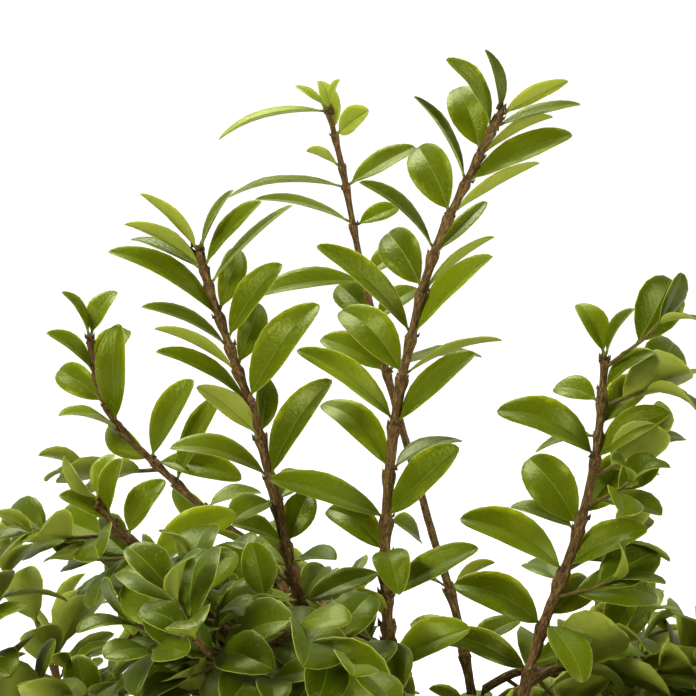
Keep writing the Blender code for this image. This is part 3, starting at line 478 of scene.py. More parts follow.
UP = Vector((0, 0, 1))
GAP = 0.3 * MM
CLEARANCE = 0.35 * MM
STEM_TOP = 135.3 * MM
MAIN_RING = 7.2 * MM
MAIN_RADII = (3.6 * MM, 3.0 * MM)
BOUGH_RADII = (2.5 * MM, 1.9 * MM)
LIMB_POINTS = 5
LIMB_SIDES = 6
BARK_RING = 1.6 * MM
SUNK = 4 * MM  # how far the bark goes on into the limb below
KNOT_SWELL, ABOVE_KNOT, BELOW_KNOT = 0.5, 0.9 * MM, 2.4 * MM
KNOT_RINGS = (-1.2, -0.4, 0, 0.5, 1.1)  # extra rings round each knot, in millimetres along the stem
TIP_RINGS = (0.7, 0.4, 0.15)  # extra rings where the tip rounds off, as shares of its taper
RIDGES_ROUND, RIDGES_ALONG = 1.4, 0.35  # the bark's ridges a millimetre, round a limb and along it
LUMP_SIZE = 4 * MM
STEM_SKIN = (18, BARK_RING, 0.10)  # sides, from ring to ring, and how rough
BOUGH_SKIN = (14, BARK_RING, 0.10)

# Main stems and their tips, in millimetres.
MAIN_STEMS = {
    "front": (2, -15, 182),
    "right": (24, -7, 170),
    "back_right": (17, 21, 172),
    "back_left": (-14, 20, 174),
    "left": (-23, -11, 171),
}

# Boughs: name, main stem, tip in millimetres, the heading it arrives with, and its sprays as (turn from the
# bough's azimuth, elevation, length in millimetres).
BOUGHS = (
    ("centre", "front", (8, -20, 255.5), (-0.02, 0, 1), [(-100, 8, 56)]),
    ("left", "front", (-10.3, -22, 256.5), (-0.15, 0, 1), [(-78, 24, 54)]),
    ("front", "front", (3, -56, 186), (0, -0.8, 0.4), [(-44, 6, 62), (0, 68, 68), (44, 4, 62)]),
    ("right", "right", (40.6, -12, 254), (0.2, 0, 1), [(50, 5, 58)]),
    ("right_low", "right", (60, -4, 184), (0.8, 0, 0.4), [(-40, 6, 62), (8, 66, 98), (40, 8, 62)]),
    ("front_right", "right", (44, -42, 178), (0.6, -0.55, 0.4), [(-12, 3, 64), (16, 64, 74)]),
    ("back", "back_right", (32, 40, 244.5), (-0.25, 0.1, 1), [(-60, 5, 56)]),
    ("back_right", "back_right", (46, 46, 182), (0.55, 0.55, 0.4), [(-38, 6, 62), (0, 60, 86), (38, 4, 62)]),
    ("far_left", "back_left", (-11.5, 15.5, 264.5), (-0.5, 0.3, 0.8), [(-50, 5, 54)]),
    ("back_low", "back_left", (-4, 58, 184), (0, 0.8, 0.4), [(-42, 6, 62), (0, 64, 94), (42, 4, 62)]),
    ("back_left", "back_left", (-46, 42, 182), (-0.55, 0.5, 0.4), [(-14, 4, 64), (14, 58, 92)]),
    ("short_left", "left", (-22.5, -26.3, 262.5), (-0.5, -0.25, 0.8), [(22, 20, 56)]),
    ("left_low", "left", (-60, 3, 183), (-0.8, 0, 0.4), [(-40, 8, 62), (6, 66, 104), (40, 6, 62)]),
    ("front_left", "left", (-42, -42, 182), (-0.55, -0.55, 0.4), [(-36, 6, 62), (2, 66, 78), (38, 4, 62)]),
)

Limb = namedtuple("Limb", "name route foot tip")


def mm(*numbers):
    """A point or a direction written in millimetres, as a vector in metres."""
    return Vector(numbers) * MM


def spline_route(points, per_span):
    """A smooth route through the points."""
    padded = [2 * points[0] - points[1]] + list(points) + [2 * points[-1] - points[-2]]
    route = []
    for a, b, c, d in zip(padded, padded[1:], padded[2:], padded[3:]):
        for step in range(per_span):
            t = step / per_span
            bend = (2 * a - 5 * b + 4 * c - d) * t * t + (3 * b - a - 3 * c + d) * t**3
            route.append(0.5 * (2 * b + (c - a) * t + bend))
    return route + [points[-1]]


def bent_route(start, heading, end, arrival, count):
    """A limb's route from start to end, leaving along heading and arriving along arrival."""
    reach = (end - start).length / 3
    pulls = [start, start + heading * reach, end - arrival * reach, end]
    route = []
    for step in range(count):
        t = step / (count - 1)
        weights = ((1 - t) ** 3, 3 * t * (1 - t) ** 2, 3 * t * t * (1 - t), t**3)
        route.append(sum((p * w for p, w in zip(pulls, weights)), Vector()))
    return route


def route_length(route):
    """How long a route is."""
    return sum((b - a).length for a, b in zip(route, route[1:]))


def along(route, distance):
    """The point and the heading at a distance along a route."""
    for a, b in zip(route, route[1:]):
        span = (b - a).length
        if distance <= span:
            return a.lerp(b, distance / span), (b - a).normalized()
        distance -= span
    return route[-1].copy(), (route[-1] - route[-2]).normalized()


def side_of(heading):
    """A level direction square to a heading."""
    side = heading.cross(UP)
    return side.normalized() if side.length > 0.05 else Vector((1, 0, 0))


def spoke(heading, turn):
    """The direction square to a heading, turned so far round it."""
    side = side_of(heading)
    return side * math.cos(turn) + heading.cross(side) * math.sin(turn)


def branch_starts(tip, heading, targets, radius):
    """Feet of limbs that leave one tip side by side."""
    side = side_of(heading)
    other = heading.cross(side)
    turns = [math.atan2((target - tip).dot(other), (target - tip).dot(side)) for target in targets]
    order = sorted(range(len(targets)), key=lambda k: turns[k])
    step = 2 * math.pi / max(len(targets), 1)
    first = sum(turns[k] - step * rank for rank, k in enumerate(order)) / max(len(targets), 1)
    spread = 0 if len(targets) == 1 else (radius + GAP) / math.sin(step / 2)
    feet = [None] * len(targets)
    for rank, k in enumerate(order):
        feet[k] = tip + heading * GAP + spoke(heading, first + step * rank) * spread
    return feet


def forked_route(foot, heading, end, arrival, radius, count):
    """A limb's route from a fork: squarely off the tip that it starts from, and then on to its end."""
    neck = foot + heading * radius
    leaving = (heading * 1.2 + (end - neck).normalized()).normalized()
    return [foot] + bent_route(neck, leaving, end, arrival, count)


def tube_faces(rings, sides):
    """The faces of a tube of so many rings, closed at both ends."""
    faces = []
    for ring in range(rings - 1):
        for corner in range(sides):
            a, b = ring * sides + corner, ring * sides + (corner + 1) % sides
            faces.append((a, b, b + sides, a + sides))
    return faces + [tuple(reversed(range(sides))), tuple(range((rings - 1) * sides, rings * sides))]


class Skin:
    """Points and faces of many like things that become one joined piece."""

    def __init__(self, mark):
        self.mark = mark
        self.points, self.faces, self.marks, self.finishes = [], [], [], []

    def add(self, points, faces, marks, finish=0):
        """Takes in one thing, with its points' marks, and one finish or one for each face."""
        start = len(self.points)
        self.points += points
        self.marks += marks
        self.faces += [tuple(start + corner for corner in face) for face in faces]
        self.finishes += finish if isinstance(finish, list) else [finish] * len(faces)

    def piece(self, name, finishes, slot, *nodes):
        """Makes the joined piece and hands it over."""
        mesh = bpy.data.meshes.new(name)
        mesh.from_pydata(self.points, [], self.faces)
        mark_points(mesh, self.mark, self.marks)
        hand_over(add_object(name, mesh), finishes, slot, *nodes)
        mesh.polygons.foreach_set("material_index", self.finishes)
        mesh.polygons.foreach_set("use_smooth", [True] * len(self.faces))


def clothe_limb(skin, limb, sides, step, relief, knots=(), flare=0.0, sink=0.0, taper=0.0):
    """Adds a limb's bark: rings of ridged bark along a smooth route, swollen at its knots and at its foot."""
    start, heading = limb.route[0], (limb.route[1] - limb.route[0]).normalized()
    route = spline_route([start - heading * sink] * bool(sink) + list(limb.route), 6)
    total = route_length(route)
    rings = max(2, round(total / step))
    stations = {total * k / rings for k in range(rings + 1)}
    stations |= {knot + past * MM for knot in knots for past in KNOT_RINGS if 0 < knot + past * MM < total}
    stations |= {total - taper * share for share in TIP_RINGS if taper}
    side = None
    shift = Vector((len(skin.points) * 0.37 % 1.0, 0, 0))
    points, marks = [], []
    for distance in sorted(stations):
        centre, heading = along(route, distance)
        side = side_of(heading) if side is None else (side - heading * side.dot(heading)).normalized()
        other = heading.cross(side)
        share = distance / total
        radius = limb.foot + (limb.tip - limb.foot) * share
        radius *= 1 + flare * math.exp(-distance / (1.6 * limb.foot + sink))
        if taper and distance > total - taper:
            radius *= math.sqrt(max(total - distance, 0) / taper + 0.03)
        near = [distance - knot for knot in knots]
        radius *= 1 + KNOT_SWELL * sum(
            math.exp(-((past / (ABOVE_KNOT if past > 0 else BELOW_KNOT)) ** 2)) for past in near
        )
        for corner in range(sides):
            turn = 2 * math.pi * corner / sides
            out = side * math.cos(turn) + other * math.sin(turn)
            place = Vector((math.cos(turn), math.sin(turn), 0)) * radius + UP * distance + shift
            ridged = Vector((place.x * RIDGES_ROUND, place.y * RIDGES_ROUND, place.z * RIDGES_ALONG)) / MM
            rough = noise.noise(ridged + shift * 90) + 0.8 * noise.noise(place / LUMP_SIZE)
            points.append(centre + out * radius * (1 + relief * rough))
            marks.append(place)
    skin.add(points, tube_faces(len(stations), sides), marks)


stems = {}
for name, tip in MAIN_STEMS.items():
    end = mm(*tip)
    outward = Vector((end.x, end.y, 0)).normalized()
    foot = outward * MAIN_RING + UP * (STEM_TOP + GAP)
    route = forked_route(foot, UP, end, (outward * 0.3 + UP).normalized(), MAIN_RADII[0], LIMB_POINTS)
    stems[name] = Limb("main_stem_" + name, route, *MAIN_RADII)
boughs = {}
for stem_name, stem in stems.items():
    carried = [(name, mm(*tip), arrival) for name, carrier, tip, arrival, _ in BOUGHS if carrier == stem_name]
    top, heading = along(stem.route, 1)
    feet = branch_starts(top, heading, [tip for _, tip, _ in carried], BOUGH_RADII[0])
    for (name, tip, arrival), foot in zip(carried, feet):
        route = forked_route(foot, heading, tip, Vector(arrival).normalized(), BOUGH_RADII[0], LIMB_POINTS)
        boughs[name] = Limb("bough_" + name, route, *BOUGH_RADII)
for piece_name, limbs, shape, flare in (
    ("stem_bark", stems, STEM_SKIN, 0.35),
    ("bough_bark", boughs, BOUGH_SKIN, 0.30),
):
    wood = Skin("limb_place")
    for limb in limbs.values():
        clothe_limb(wood, limb, *shape, flare=flare, sink=SUNK)
    wood.piece(piece_name, [OLD_BARK], "bark", *(limb.name for limb in limbs.values()))

# ---- Leafy shoots
# Six young shoots stand tall and free over the close crown. Each is a straight slim stem that swells at every
# node, with bud scales and one pair of opposite leaves there, each pair turned from the last.

SHOOT_RADII = (1.5 * MM, 0.7 * MM)
SPRAY_RADII = (1.3 * MM, 0.75 * MM)
TWIG_RADII = (0.95 * MM, 0.65 * MM)
SPRAY_POINTS = 5
LEAF_LENGTH = 29 * MM
LEAF_THICKNESS = 0.9 * MM
LEAF_FOLD = 0.34
LEAF_SECTIONS = ((0.22, 0.66), (0.45, 1.0), (0.76, 0.78))  # shares of a leaf's length, and of its width there
NODE_SPACING = 13 * MM
TWIG_LENGTH = 28 * MM
TWIG_PLACES = (0.3, 0.52)  # where a spray's stem bears its side twigs, as shares of its length
FIRST_PAIR = (13, 12)  # how far up a spray's stem and a twig their first leaves stand, in millimetres
TWIG_LEAF_SIZE = 0.95
PAIR_SIZES, LEAF_BREADTHS, LEAF_ARCHES = (0.88, 1.08), (0.44, 0.52), (0.25, 0.6)  # each from least to most
PAIR_TURN = (14, 31)  # degrees that a pair is turned on a level stem, and how much more on an upright one
LEAF_OPENING = (62, 14)  # degrees that a leaf leans off the stem at its foot, and how much less at its tip
TIP_SHRINKING = 0.34
END_PAIR = (0.66, 26)  # the last pair's share of the full length, and how far its leaves lean
NUDGES = (0, 11, -11, 22, -22, 35, -35)
STEM_NUDGES = (0, 12, -12, 24, -24, 36, -36, 50, -50, 70, -70, 90, -90)
VIEWER = Vector((0, -1, 0))
POT_HEIGHT = 135 * MM
CANOPY_HEIGHT, CANOPY_FALL = 255, 0.105  # millimetres on the right, and its fall for each millimetre away
CANOPY_STEPS = ((30, 10, 8), (18, -15, 15))  # how it rises to the left: by how much, from where, how softly
CANOPY_SIDES, OUTSIDE_HEIGHT = (-68, 60), 380  # past its sides it may grow up to a greater height
CLAIM_CELL = 20 * MM
SLIM_SHOOTS = {"shoot_back": 0.82, "shoot_far_left": 0.82}  # their thickness as a share of the others'
SHOWN_RADII = (1.50 * MM, 0.90 * MM)
SHOOT_SKIN = (16, 0.9 * MM, 0.12)
KNOT_SPACING = 2.5 * MM  # nodes closer than this swell as one
SCALE_COUNT = 4
SCALE_WIDTH, SCALE_THICKNESS = 0.40, 0.20  # half of each, as shares of a bud scale's length
SCALE_LENGTH, END_SCALE_LENGTH = 1.4 * MM, 1.9 * MM
END_NODES = (1.5 * MM, 0.6 * MM)  # how far below its tip a shoot's closing scales stand

Leaf = namedtuple("Leaf", "base chord normal width arch sweep", defaults=(0.0,))

# The shoots, leaf by leaf. Route points are (right, away, height), and each leaf is
# (height of its node, reach right, reach towards the viewer, rise, turn of its upper face to the viewer in
# degrees, width, bow out of its face, sweep towards the shoot's tip), all other numbers in millimetres.
SHOOTS = {}
SHOOTS["centre"] = (
    [(8, -20, 257), (6.4, -20, 292), (8.4, -20, 324), (12.9, -20, 348), (18.7, -20, 369.5),
     (27.2, -20, 388), (35.6, -20, 405)],
    [
        (402.8, -3.2, -3, 16.7, 18, 6, 0.9, 0.9), (402.9, 16.9, 3, 9, -33, 6, 0.3, 0),
        (399.4, -11, 6, 18.1, 40, 8.4, 0.9, 1.8), (400.2, 21.8, -4, 6.1, 18, 5.6, 0.4, 0),
        (393.6, -6, -6, 16.8, 75, 9.4, 1.2, 0.9), (393.4, 17.9, -5, 9.8, -42, 7, 0.4, 0),
        (386.6, 25.8, 4, 12.2, 45, 10, 1, 0), (386.4, -12.9, 4, 21.7, 24, 6.6, 1, 1.6),
        (378.9, 21.9, -4, 12.6, -40, 7.2, 0.2, 0), (378, -8.6, -10, 17.5, 80, 10.4, 1.5, 1.5),
        (368.6, 13.4, -8, 12.7, 12, 5, 0, -0.4), (369.4, -18.5, 6, 17.8, 30, 7.6, 1.3, 1.7),
        (359.2, 18, -6, 13.4, -36, 7, 0.6, 0), (359.2, -9.6, -10, 14.5, 80, 10.2, 1.6, 1.7),
        (348, 19.5, 6, 20.8, 45, 10.4, 0.8, 0), (348.2, -23.3, 3, 23.1, 45, 8.4, 1, 2),
        (338, 25, -6, 8.6, -20, 9, 1.8, 0), (337.8, -15.6, -9, 16.6, 62, 9.8, 1.8, 1.8),
        (325.8, 19.6, 5, 18.8, 46, 9.8, 0.5, 0), (326.2, -24, 3, 19.1, 47, 8.2, 1.3, 1.6),
        (313.8, -16.8, -8, 17.4, 50, 8.2, 2, 2), (314.2, 18.3, -8, 6.6, 0, 9.5, 1.2, 0),
        (302.2, 17.5, 9, 19, 60, 11.2, 0.8, -0.3), (301.9, -28.8, 8, 11.4, 41, 9.6, 1, 0.6),
        (292.6, -14.8, -6, 11.4, 58, 8, 1.6, 1.8), (302, 8.6, -10, -7.4, 50, 8, 0.6, 0),
        (293.2, 3.3, 15, -7.8, 15, 9, 4, 0), (281.8, 22.5, 6, 13.8, 42, 9, 1, 0),
        (288.4, -19, 8, -5.7, 32, 8, 1, 0), (275, -8, 4, 10, -20, 6, 0.7, 0.5),
        (271, 1.5, 19, -10.5, 10, 9.5, 1.1, 0.9), (263.5, 19.5, 9, 12, 50, 10.5, 2.4, 0),
        (263, -16, 9, 6, 50, 8.5, 1, 0.8),
    ],
)
SHOOTS["left"] = (
    [(-10.5, -22, 258), (-14.2, -22, 277.6), (-18.2, -22, 293.5), (-25, -22, 323), (-30.7, -22, 340),
     (-37.6, -22, 360.6), (-40.4, -22, 371)],
    [
        (369.4, 8.3, 3, 15.6, 25, 6.8, 0.5, 0), (368.9, -14.5, 2, 15.1, -24, 6.4, 0.6, 0.8),
        (365.5, -19, 4, 11.7, -28, 6.4, 0.8, 0.4), (364.6, -18.6, -8, 8, 5, 6.5, 0.6, 0),
        (365.4, 14.4, 5, 16.8, 38, 8, 1, 0), (360.8, 20.8, 3, 20.6, 16, 6.6, 0.8, 0),
        (352.6, -26.7, 6, 17.9, 42, 9.4, 1.8, 1.6), (353.8, 5, -8, 16.4, 65, 6.6, 1, -0.2),
        (345.4, -21.6, 5, 10.7, 30, 7.6, 1, 1.2), (347.2, 13.1, 4, 19.6, 50, 9.2, 1.2, 0),
        (339.4, -20.8, -2, 10.8, -34, 7, 0.8, 0.6), (340.2, 5.7, -9, 16.3, 70, 7, 1, 0),
        (331.2, -22.9, 5, 14, 35, 8, 1.2, 1.2), (332.2, 15.4, 4, 25, 57, 10.8, 0.8, 0),
        (322.8, -15.5, 7, 13.8, -35, 7.4, 1.2, 0), (322.8, 1.4, -9, 14.6, 65, 6.5, 0.3, 0),
        (312.4, -24.4, 5, 9.1, 35, 9, 2.3, 0.8), (312.6, 14.8, 4, 25.3, 52, 10, 2.1, 0),
        (306.5, -11.1, 10, -3.6, 30, 9, 1.2, 0), (306, 7, -13, 6, 40, 7, 0.8, 0.6),
        (295.2, 5.7, -4, 13.2, 60, 8, 0.5, 0), (295.2, -13.2, 6, 6.5, 40, 8, 1.2, 0),
        (290.8, 11.6, 11, 2.9, 10, 8.5, 0.8, 0), (289, -9, -14, 7, 40, 8, 0.9, 0.7),
        (281, -10, 14, 2, 30, 7.5, 0.9, 0.7), (280, 6, -14, 8, 50, 7.5, 0.9, 0.7),
        (274, 9, 14, -3.5, 10, 7.5, 0.9, 0.7), (272, -12, -10, 8, 60, 7.5, 0.9, 0.7),
        (266, -14, 10, 5, 50, 7.5, 0.9, 0.7), (265, 13, -10, 8, 40, 8, 0.9, 0.7),
    ],
)
SHOOTS["back"] = (
    [(32, 40, 246), (26, 44, 267), (20.2, 48, 286), (12.4, 53, 313), (7.3, 56, 331), (-0.4, 59, 364),
     (-4, 60, 383), (-8.4, 60, 402)],
    [
        (401, -30.1, 2, -6.5, 8, 7.5, 2.2, 0), (401.2, 2.8, 3, 8.5, 50, 4.5, 0.3, 0),
        (401.6, -8.9, -3, 6.3, 20, 3.5, 0.4, 0), (394.2, 8.9, 8, 7.4, 65, 7.5, 0.4, 0),
        (394.5, -3.2, -6, 15.3, 40, 6, 0.4, 0), (385.8, -9.4, -6, 4.5, -50, 6, 0.3, 0),
        (380.6, 18.8, -4, 10.8, 42, 7.5, 0.5, 0), (380.4, -31.9, 3, -1.2, 6, 8, 2.2, 0),
        (370.8, -26.2, 5, 7.2, 18, 8.5, 1.2, 0), (369.8, 12.1, -6, 4.9, 50, 6, 0.4, 0),
        (354.8, -28.6, 5, -2.7, 38, 9, 1.8, 0), (355.5, 13, -8, 8, 40, 7.5, 0.9, 0.7),
        (344, -10, -14, 9, 50, 8.5, 1, 0.8), (343.5, 12, -9, 9, 40, 7.5, 0.9, 0.7),
        (331, 26, 0, 4.5, 8, 11.5, 1.3, 1.1), (330, -18, -6, 9, 45, 9, 1.1, 0.8),
        (273, -10, 5, 4, 30, 5, 0.6, 0.5), (272, 12, -5, 7.5, -30, 6.5, 0.8, 0.6),
        (256, -14, -9, 7, 40, 8, 0.9, 0.7), (255, 15, -6, 9, 40, 8, 0.9, 0.7),
    ],
)
SHOOTS["right"] = (
    [(41, -12, 255.5), (46.7, -12, 273.2), (51.6, -12, 286), (55.9, -12, 299.3), (59.8, -12, 317),
     (61.3, -12, 333.6), (61.8, -12, 342)],
    [
        (341.5, -6, -5, 14, 30, 7, 0.8, 0.6), (341.5, 7, 3, 13, 40, 6.5, 0.8, 0.6),
        (330, -11.7, -6, 3.5, 40, 8, 0.8, 0.8), (333, 12, 6, 11, 45, 7.5, 0.9, 0.7),
        (324, 13, -10, 12, 40, 8.5, 1, 0.8), (322, -15.5, -8, -5.3, 20, 7, 1, 0),
        (316.2, -24.8, 5, 13, 48, 11, 3.6, 1.2), (315.5, 18, 5, 13, 50, 10, 1.1, 0.9),
        (298, -12.9, -8, 17.3, 80, 11.6, 1.6, 1.6), (301, 14, -12, 14, 45, 10, 1.2, 0.9),
        (297.6, -16.8, -6, 5.9, 32, 6.5, 0.6, 0.4), (286.8, -26.3, 4, 14.8, 48, 10.6, 2.6, 1.8),
        (288, 20, 4, 11, 50, 10, 1.2, 0.9), (284, -8, -16, 3, 40, 8, 0.9, 0.7),
        (272.8, -21.8, 4, 12.5, 62, 10.6, 2.2, 1), (274, 9, 16, -12, 30, 9.5, 1.1, 0.9),
        (275, 13, -12, 8, 45, 8.5, 1, 0.8), (261.7, -20.5, 6, 11.6, 60, 7.8, 0.8, 0),
        (263, 15, 6, 8, 50, 8, 0.9, 0.7),
    ],
)
SHOOTS["far_left"] = (
    [(-12, 16, 266), (-25, 25, 284.6), (-37.6, 28, 294), (-55, 33, 309.3), (-64.7, 35, 319), (-70, 36, 331),
     (-71.5, 36, 342)],
    [
        (341.5, -7, 3, 13, 40, 6.5, 0.8, 0.6), (341.5, 6, -4, 13, 30, 6.5, 0.7, 0.6),
        (332, 8, -9, 12, 40, 7.5, 0.9, 0.7), (332, -12, 6, 12, 50, 7.5, 0.9, 0.7),
        (324, -14, -8, 9, 50, 8, 0.9, 0.7), (319, -0.4, 3, 26.4, 80, 9, 0.6, 0),
        (317, -16, 9, 6, 50, 8.5, 1, 0.8), (309.6, 11.5, 5, 21.9, 55, 9.8, 1.6, 0),
        (309, 23.5, 3, -4, 58, 8.5, 1.8, 0), (309, -14, -10, 8, 50, 8, 0.9, 0.8),
        (303.6, 11.6, 3, 23.6, 55, 8.5, 1, 0), (297, 15, -6, 4, 50, 7, 0.8, 0.7),
        (293, -14, -10, 8, 40, 8, 0.9, 0.8), (285, 10, -14, 8, 50, 8, 0.9, 0.8),
        (284, -16, 4, 9, 40, 8, 0.9, 0.8), (275, -12, -12, 7, 40, 8, 0.9, 0.7),
    ],
)
SHOOTS["short_left"] = (
    [(-24, -27, 264), (-34, -31, 277), (-46, -35, 290.5), (-55, -36, 297.6), (-60, -37, 302),
     (-65, -38, 309)],
    [
        (308.5, -8, 2, 12, 45, 6.5, 0.7, 0.6), (308.5, 3, -4, 12, 40, 5.5, 0.7, 0.5),
        (304.5, 3.3, 4, 15.5, 45, 7, 0.8, 0.7), (303, -13, 4, 8, 50, 7, 0.8, 0.6),
        (299.5, 8, 3, 15, 50, 7.5, 0.9, 0.7), (295.4, 20.3, 5, 11.3, 55, 9, 1.6, 0),
        (294, -5.5, 14, -16, 30, 9.5, 1.1, 0.9), (290.5, 3.7, 20, -12, 5, 10, 1.2, 0.9),
        (290, -10, -16, 6, 40, 8.5, 1, 0.8), (284, -13, 12, 2, 30, 7.5, 0.9, 0.7),
        (284, 8, -13, 10, 60, 8, 0.9, 0.7), (277, -12, -8, 10, 50, 7.5, 0.9, 0.7),
        (276, 8, 15, -6, 20, 8, 0.9, 0.7),
    ],
)


def at_height(route, height):
    """The point and the heading where a rising route passes a height."""
    for a, b in zip(route, route[1:]):
        if a.z <= height < b.z:
            return a.lerp(b, (height - a.z) / (b.z - a.z)), (b - a).normalized()
    nearest = 0 if height < route[0].z else len(route) - 2
    heading = (route[nearest + 1] - route[nearest]).normalized()
    return route[0 if nearest == 0 else -1].copy(), heading


class Claims:
    """What is already grown, so that a new leaf or twig can be kept clear of it."""

    def __init__(self):
        self.cells = defaultdict(list)
        self.count = 0

    def cells_of(self, points):
        """The cells of space that the points reach into."""
        low = [math.floor(min(p[i] for p in points) / CLAIM_CELL) for i in range(3)]
        high = [math.floor(max(p[i] for p in points) / CLAIM_CELL) for i in range(3)]
        for x in range(low[0], high[0] + 1):
            for y in range(low[1], high[1] + 1):
                for z in range(low[2], high[2] + 1):
                    yield x, y, z

    def add(self, cage, owner):
        """Claims the space inside a cage for its owner."""
        self.count += 1
        entry = (self.count, owner, BVHTree.FromPolygons(*cage))
        for cell in self.cells_of(cage[0]):
            self.cells[cell].append(entry)

    def free(self, cage, *ignored):
        """True if a cage touches nothing but what the ignored owners claim."""
        tree = BVHTree.FromPolygons(*cage)
        seen = set()
        for cell in self.cells_of(cage[0]):
            for number, owner, other in self.cells[cell]:
                if number not in seen and owner not in ignored:
                    seen.add(number)
                    if tree.overlap(other):
                        return False
        return True


def tube_cage(route, foot, tip, sides=4):
    """A plain prism round a route, which claims a limb's space."""
    points = []
    for k, centre in enumerate(route):
        heading = (route[min(k + 1, len(route) - 1)] - route[max(k - 1, 0)]).normalized()
        radius = foot + (tip - foot) * k / (len(route) - 1)
        points += [centre + radius * spoke(heading, 2 * math.pi * step / sides) for step in range(sides)]
    return points, tube_faces(len(route), sides)


def stem_cage(limb):
    """A prism round a limb from just off its foot, which claims the limb's space."""
    route = [limb.route[0].lerp(limb.route[1], 0.2)] + limb.route[1:]
    return tube_cage(route, limb.foot + CLEARANCE, limb.tip + CLEARANCE)


def leaf_axes(leaf):
    """Along the leaf, across it and out of its upper face."""
    length = leaf.chord.length
    forward = leaf.chord / length
    normal = (leaf.normal - forward * leaf.normal.dot(forward)).normalized()
    return forward, normal.cross(forward), normal, length


def leaf_cage(leaf):
    """A lens round the whole blade, from just past its stalk to its tip, which claims the leaf's space."""
    forward, across, normal, length = leaf_axes(leaf)
    points = [leaf.base + forward * 1.3 * MM, leaf.base + forward * (length + CLEARANCE)]
    for share, spread in LEAF_SECTIONS:
        half = leaf.width / 2 * spread + CLEARANCE
        rise = 4 * leaf.arch * length / 8 * share * (1 - share)
        sweep = 4 * leaf.sweep * share * (1 - share)
        middle = leaf.base + forward * share * length + normal * rise + across * sweep
        points += [
            middle + across * half + normal * half * LEAF_FOLD,
            middle + normal * (LEAF_THICKNESS / 2 + CLEARANCE),
            middle - across * half + normal * half * LEAF_FOLD,
            middle - normal * (LEAF_THICKNESS / 2 + CLEARANCE),
        ]
    faces = []
    for step in range(4):
        after = (step + 1) % 4
        faces += [(0, 2 + step, 2 + after), (1, 10 + after, 10 + step)]
        faces += [(ring + step, ring + 4 + step, ring + 4 + after, ring + after) for ring in (2, 6)]
    return points, faces


def ease(share):
    """A share from 0 to 1 that starts and stops softly."""
    share = min(max(share, 0.0), 1.0)
    return share * share * (3 - 2 * share)


def crown_top(point):
    """The height that the close crown reaches: low on the right, so that the tall shoots stand free."""
    x, y = point.x / MM, point.y / MM
    outside = ease((x - CANOPY_SIDES[1]) / 10) + ease((CANOPY_SIDES[0] - x) / 10)
    body = CANOPY_HEIGHT
    for rise, start, width in CANOPY_STEPS:
        body += rise * ease((start - x) / width)
    body -= CANOPY_FALL * (y + 20)
    return (body + outside * (OUTSIDE_HEIGHT - body)) * MM


def in_crown(leaf):
    """True if a leaf of the close crown stays under the crown's top and above the pot's rim."""
    tip = leaf.base + leaf.chord
    return POT_HEIGHT + 20 * MM < tip.z < crown_top(tip)


def laid_out_leaves(route, rows):
    """The leaves of a shoot that is laid out leaf by leaf."""
    leaves = []
    for height, right, towards, rise, turn, width, bow, sweep in rows:
        base, heading = at_height(route, height * MM)
        chord = mm(right, -towards, rise)
        forward = chord.normalized()
        upper = (heading - forward * heading.dot(forward)).normalized()
        facing = forward.cross(upper)
        if facing.dot(VIEWER) < 0:
            facing = -facing
        angle = math.radians(turn)
        normal = upper * math.cos(angle) + facing * math.sin(angle)
        if normal.cross(forward).dot(upper) < 0:
            sweep = -sweep
        leaves.append(Leaf(base, chord, normal, width * MM, 8 * bow * MM / chord.length, sweep * MM))
    return leaves


def pair_at(rng, base, heading, turn, length, opening):
    """Two opposite leaves at a node, their upper faces turned to the light."""
    pair = []
    for half_turn in (0, math.pi):
        out = spoke(heading, turn + half_turn + rng.uniform(-0.25, 0.25))
        lean = math.radians(opening + rng.uniform(-9, 9))
        size = length * rng.uniform(*PAIR_SIZES)
        chord = (heading * math.cos(lean) + out * math.sin(lean)) * size
        light = UP + Vector((base.x, base.y, 0)).normalized() * 0.45
        normal = heading * 0.5 + light * rng.uniform(0.5, 0.9)
        width, arch = size * rng.uniform(*LEAF_BREADTHS), rng.uniform(*LEAF_ARCHES)
        pair.append(Leaf(base, chord, normal, width, arch))
    return pair


def rule_leaves(rng, route, first, spacing, full_length):
    """Leaf pairs that follow the rule: one pair a node, each turned from the last, and small at the tip."""
    total = route_length(route)
    leaves = []
    distance = first
    rank = 0
    while distance < total - 0.35 * spacing:
        base, heading = along(route, distance)
        share = distance / total
        turn = math.radians(PAIR_TURN[0] + PAIR_TURN[1] * abs(heading.z)) * (1 if rank % 2 else -1)
        length = full_length * (1 - TIP_SHRINKING * share**2)
        leaves += pair_at(rng, base, heading, turn, length, LEAF_OPENING[0] - LEAF_OPENING[1] * share)
        distance += spacing * rng.uniform(0.9, 1.1)
        rank += 1
    base, heading = along(route, total - 0.6 * MM)
    turn = rng.uniform(0, math.pi)
    return leaves + pair_at(rng, base, heading, turn, full_length * END_PAIR[0], END_PAIR[1])


def side_twigs(rng, name, route, claims):
    """Twigs that leave a spray's stem to either side, shorter towards its tip."""
    total = route_length(route)
    twigs = []
    for rank, share in enumerate(TWIG_PLACES):
        base, heading = along(route, total * share)
        side = side_of(heading) * (1 if rank % 2 else -1)
        leaving = (heading * 0.75 + side * 0.8 + UP * rng.uniform(0.0, 0.35)).normalized()
        arriving = (leaving + UP * 0.25).normalized()
        length = TWIG_LENGTH * (1.1 - 0.4 * share) * rng.uniform(0.9, 1.1)
        twig_route = bent_route(base - leaving * 0.2 * MM, leaving, base + leaving * length, arriving, 3)
        twig = Limb(f"{name}_twig_{rank}", twig_route, *TWIG_RADII)
        cage = stem_cage(twig)
        if claims.free(cage, name) and twig_route[2].z < crown_top(twig_route[2]):
            claims.add(cage, twig.name)
            twigs.append(twig)
    return twigs


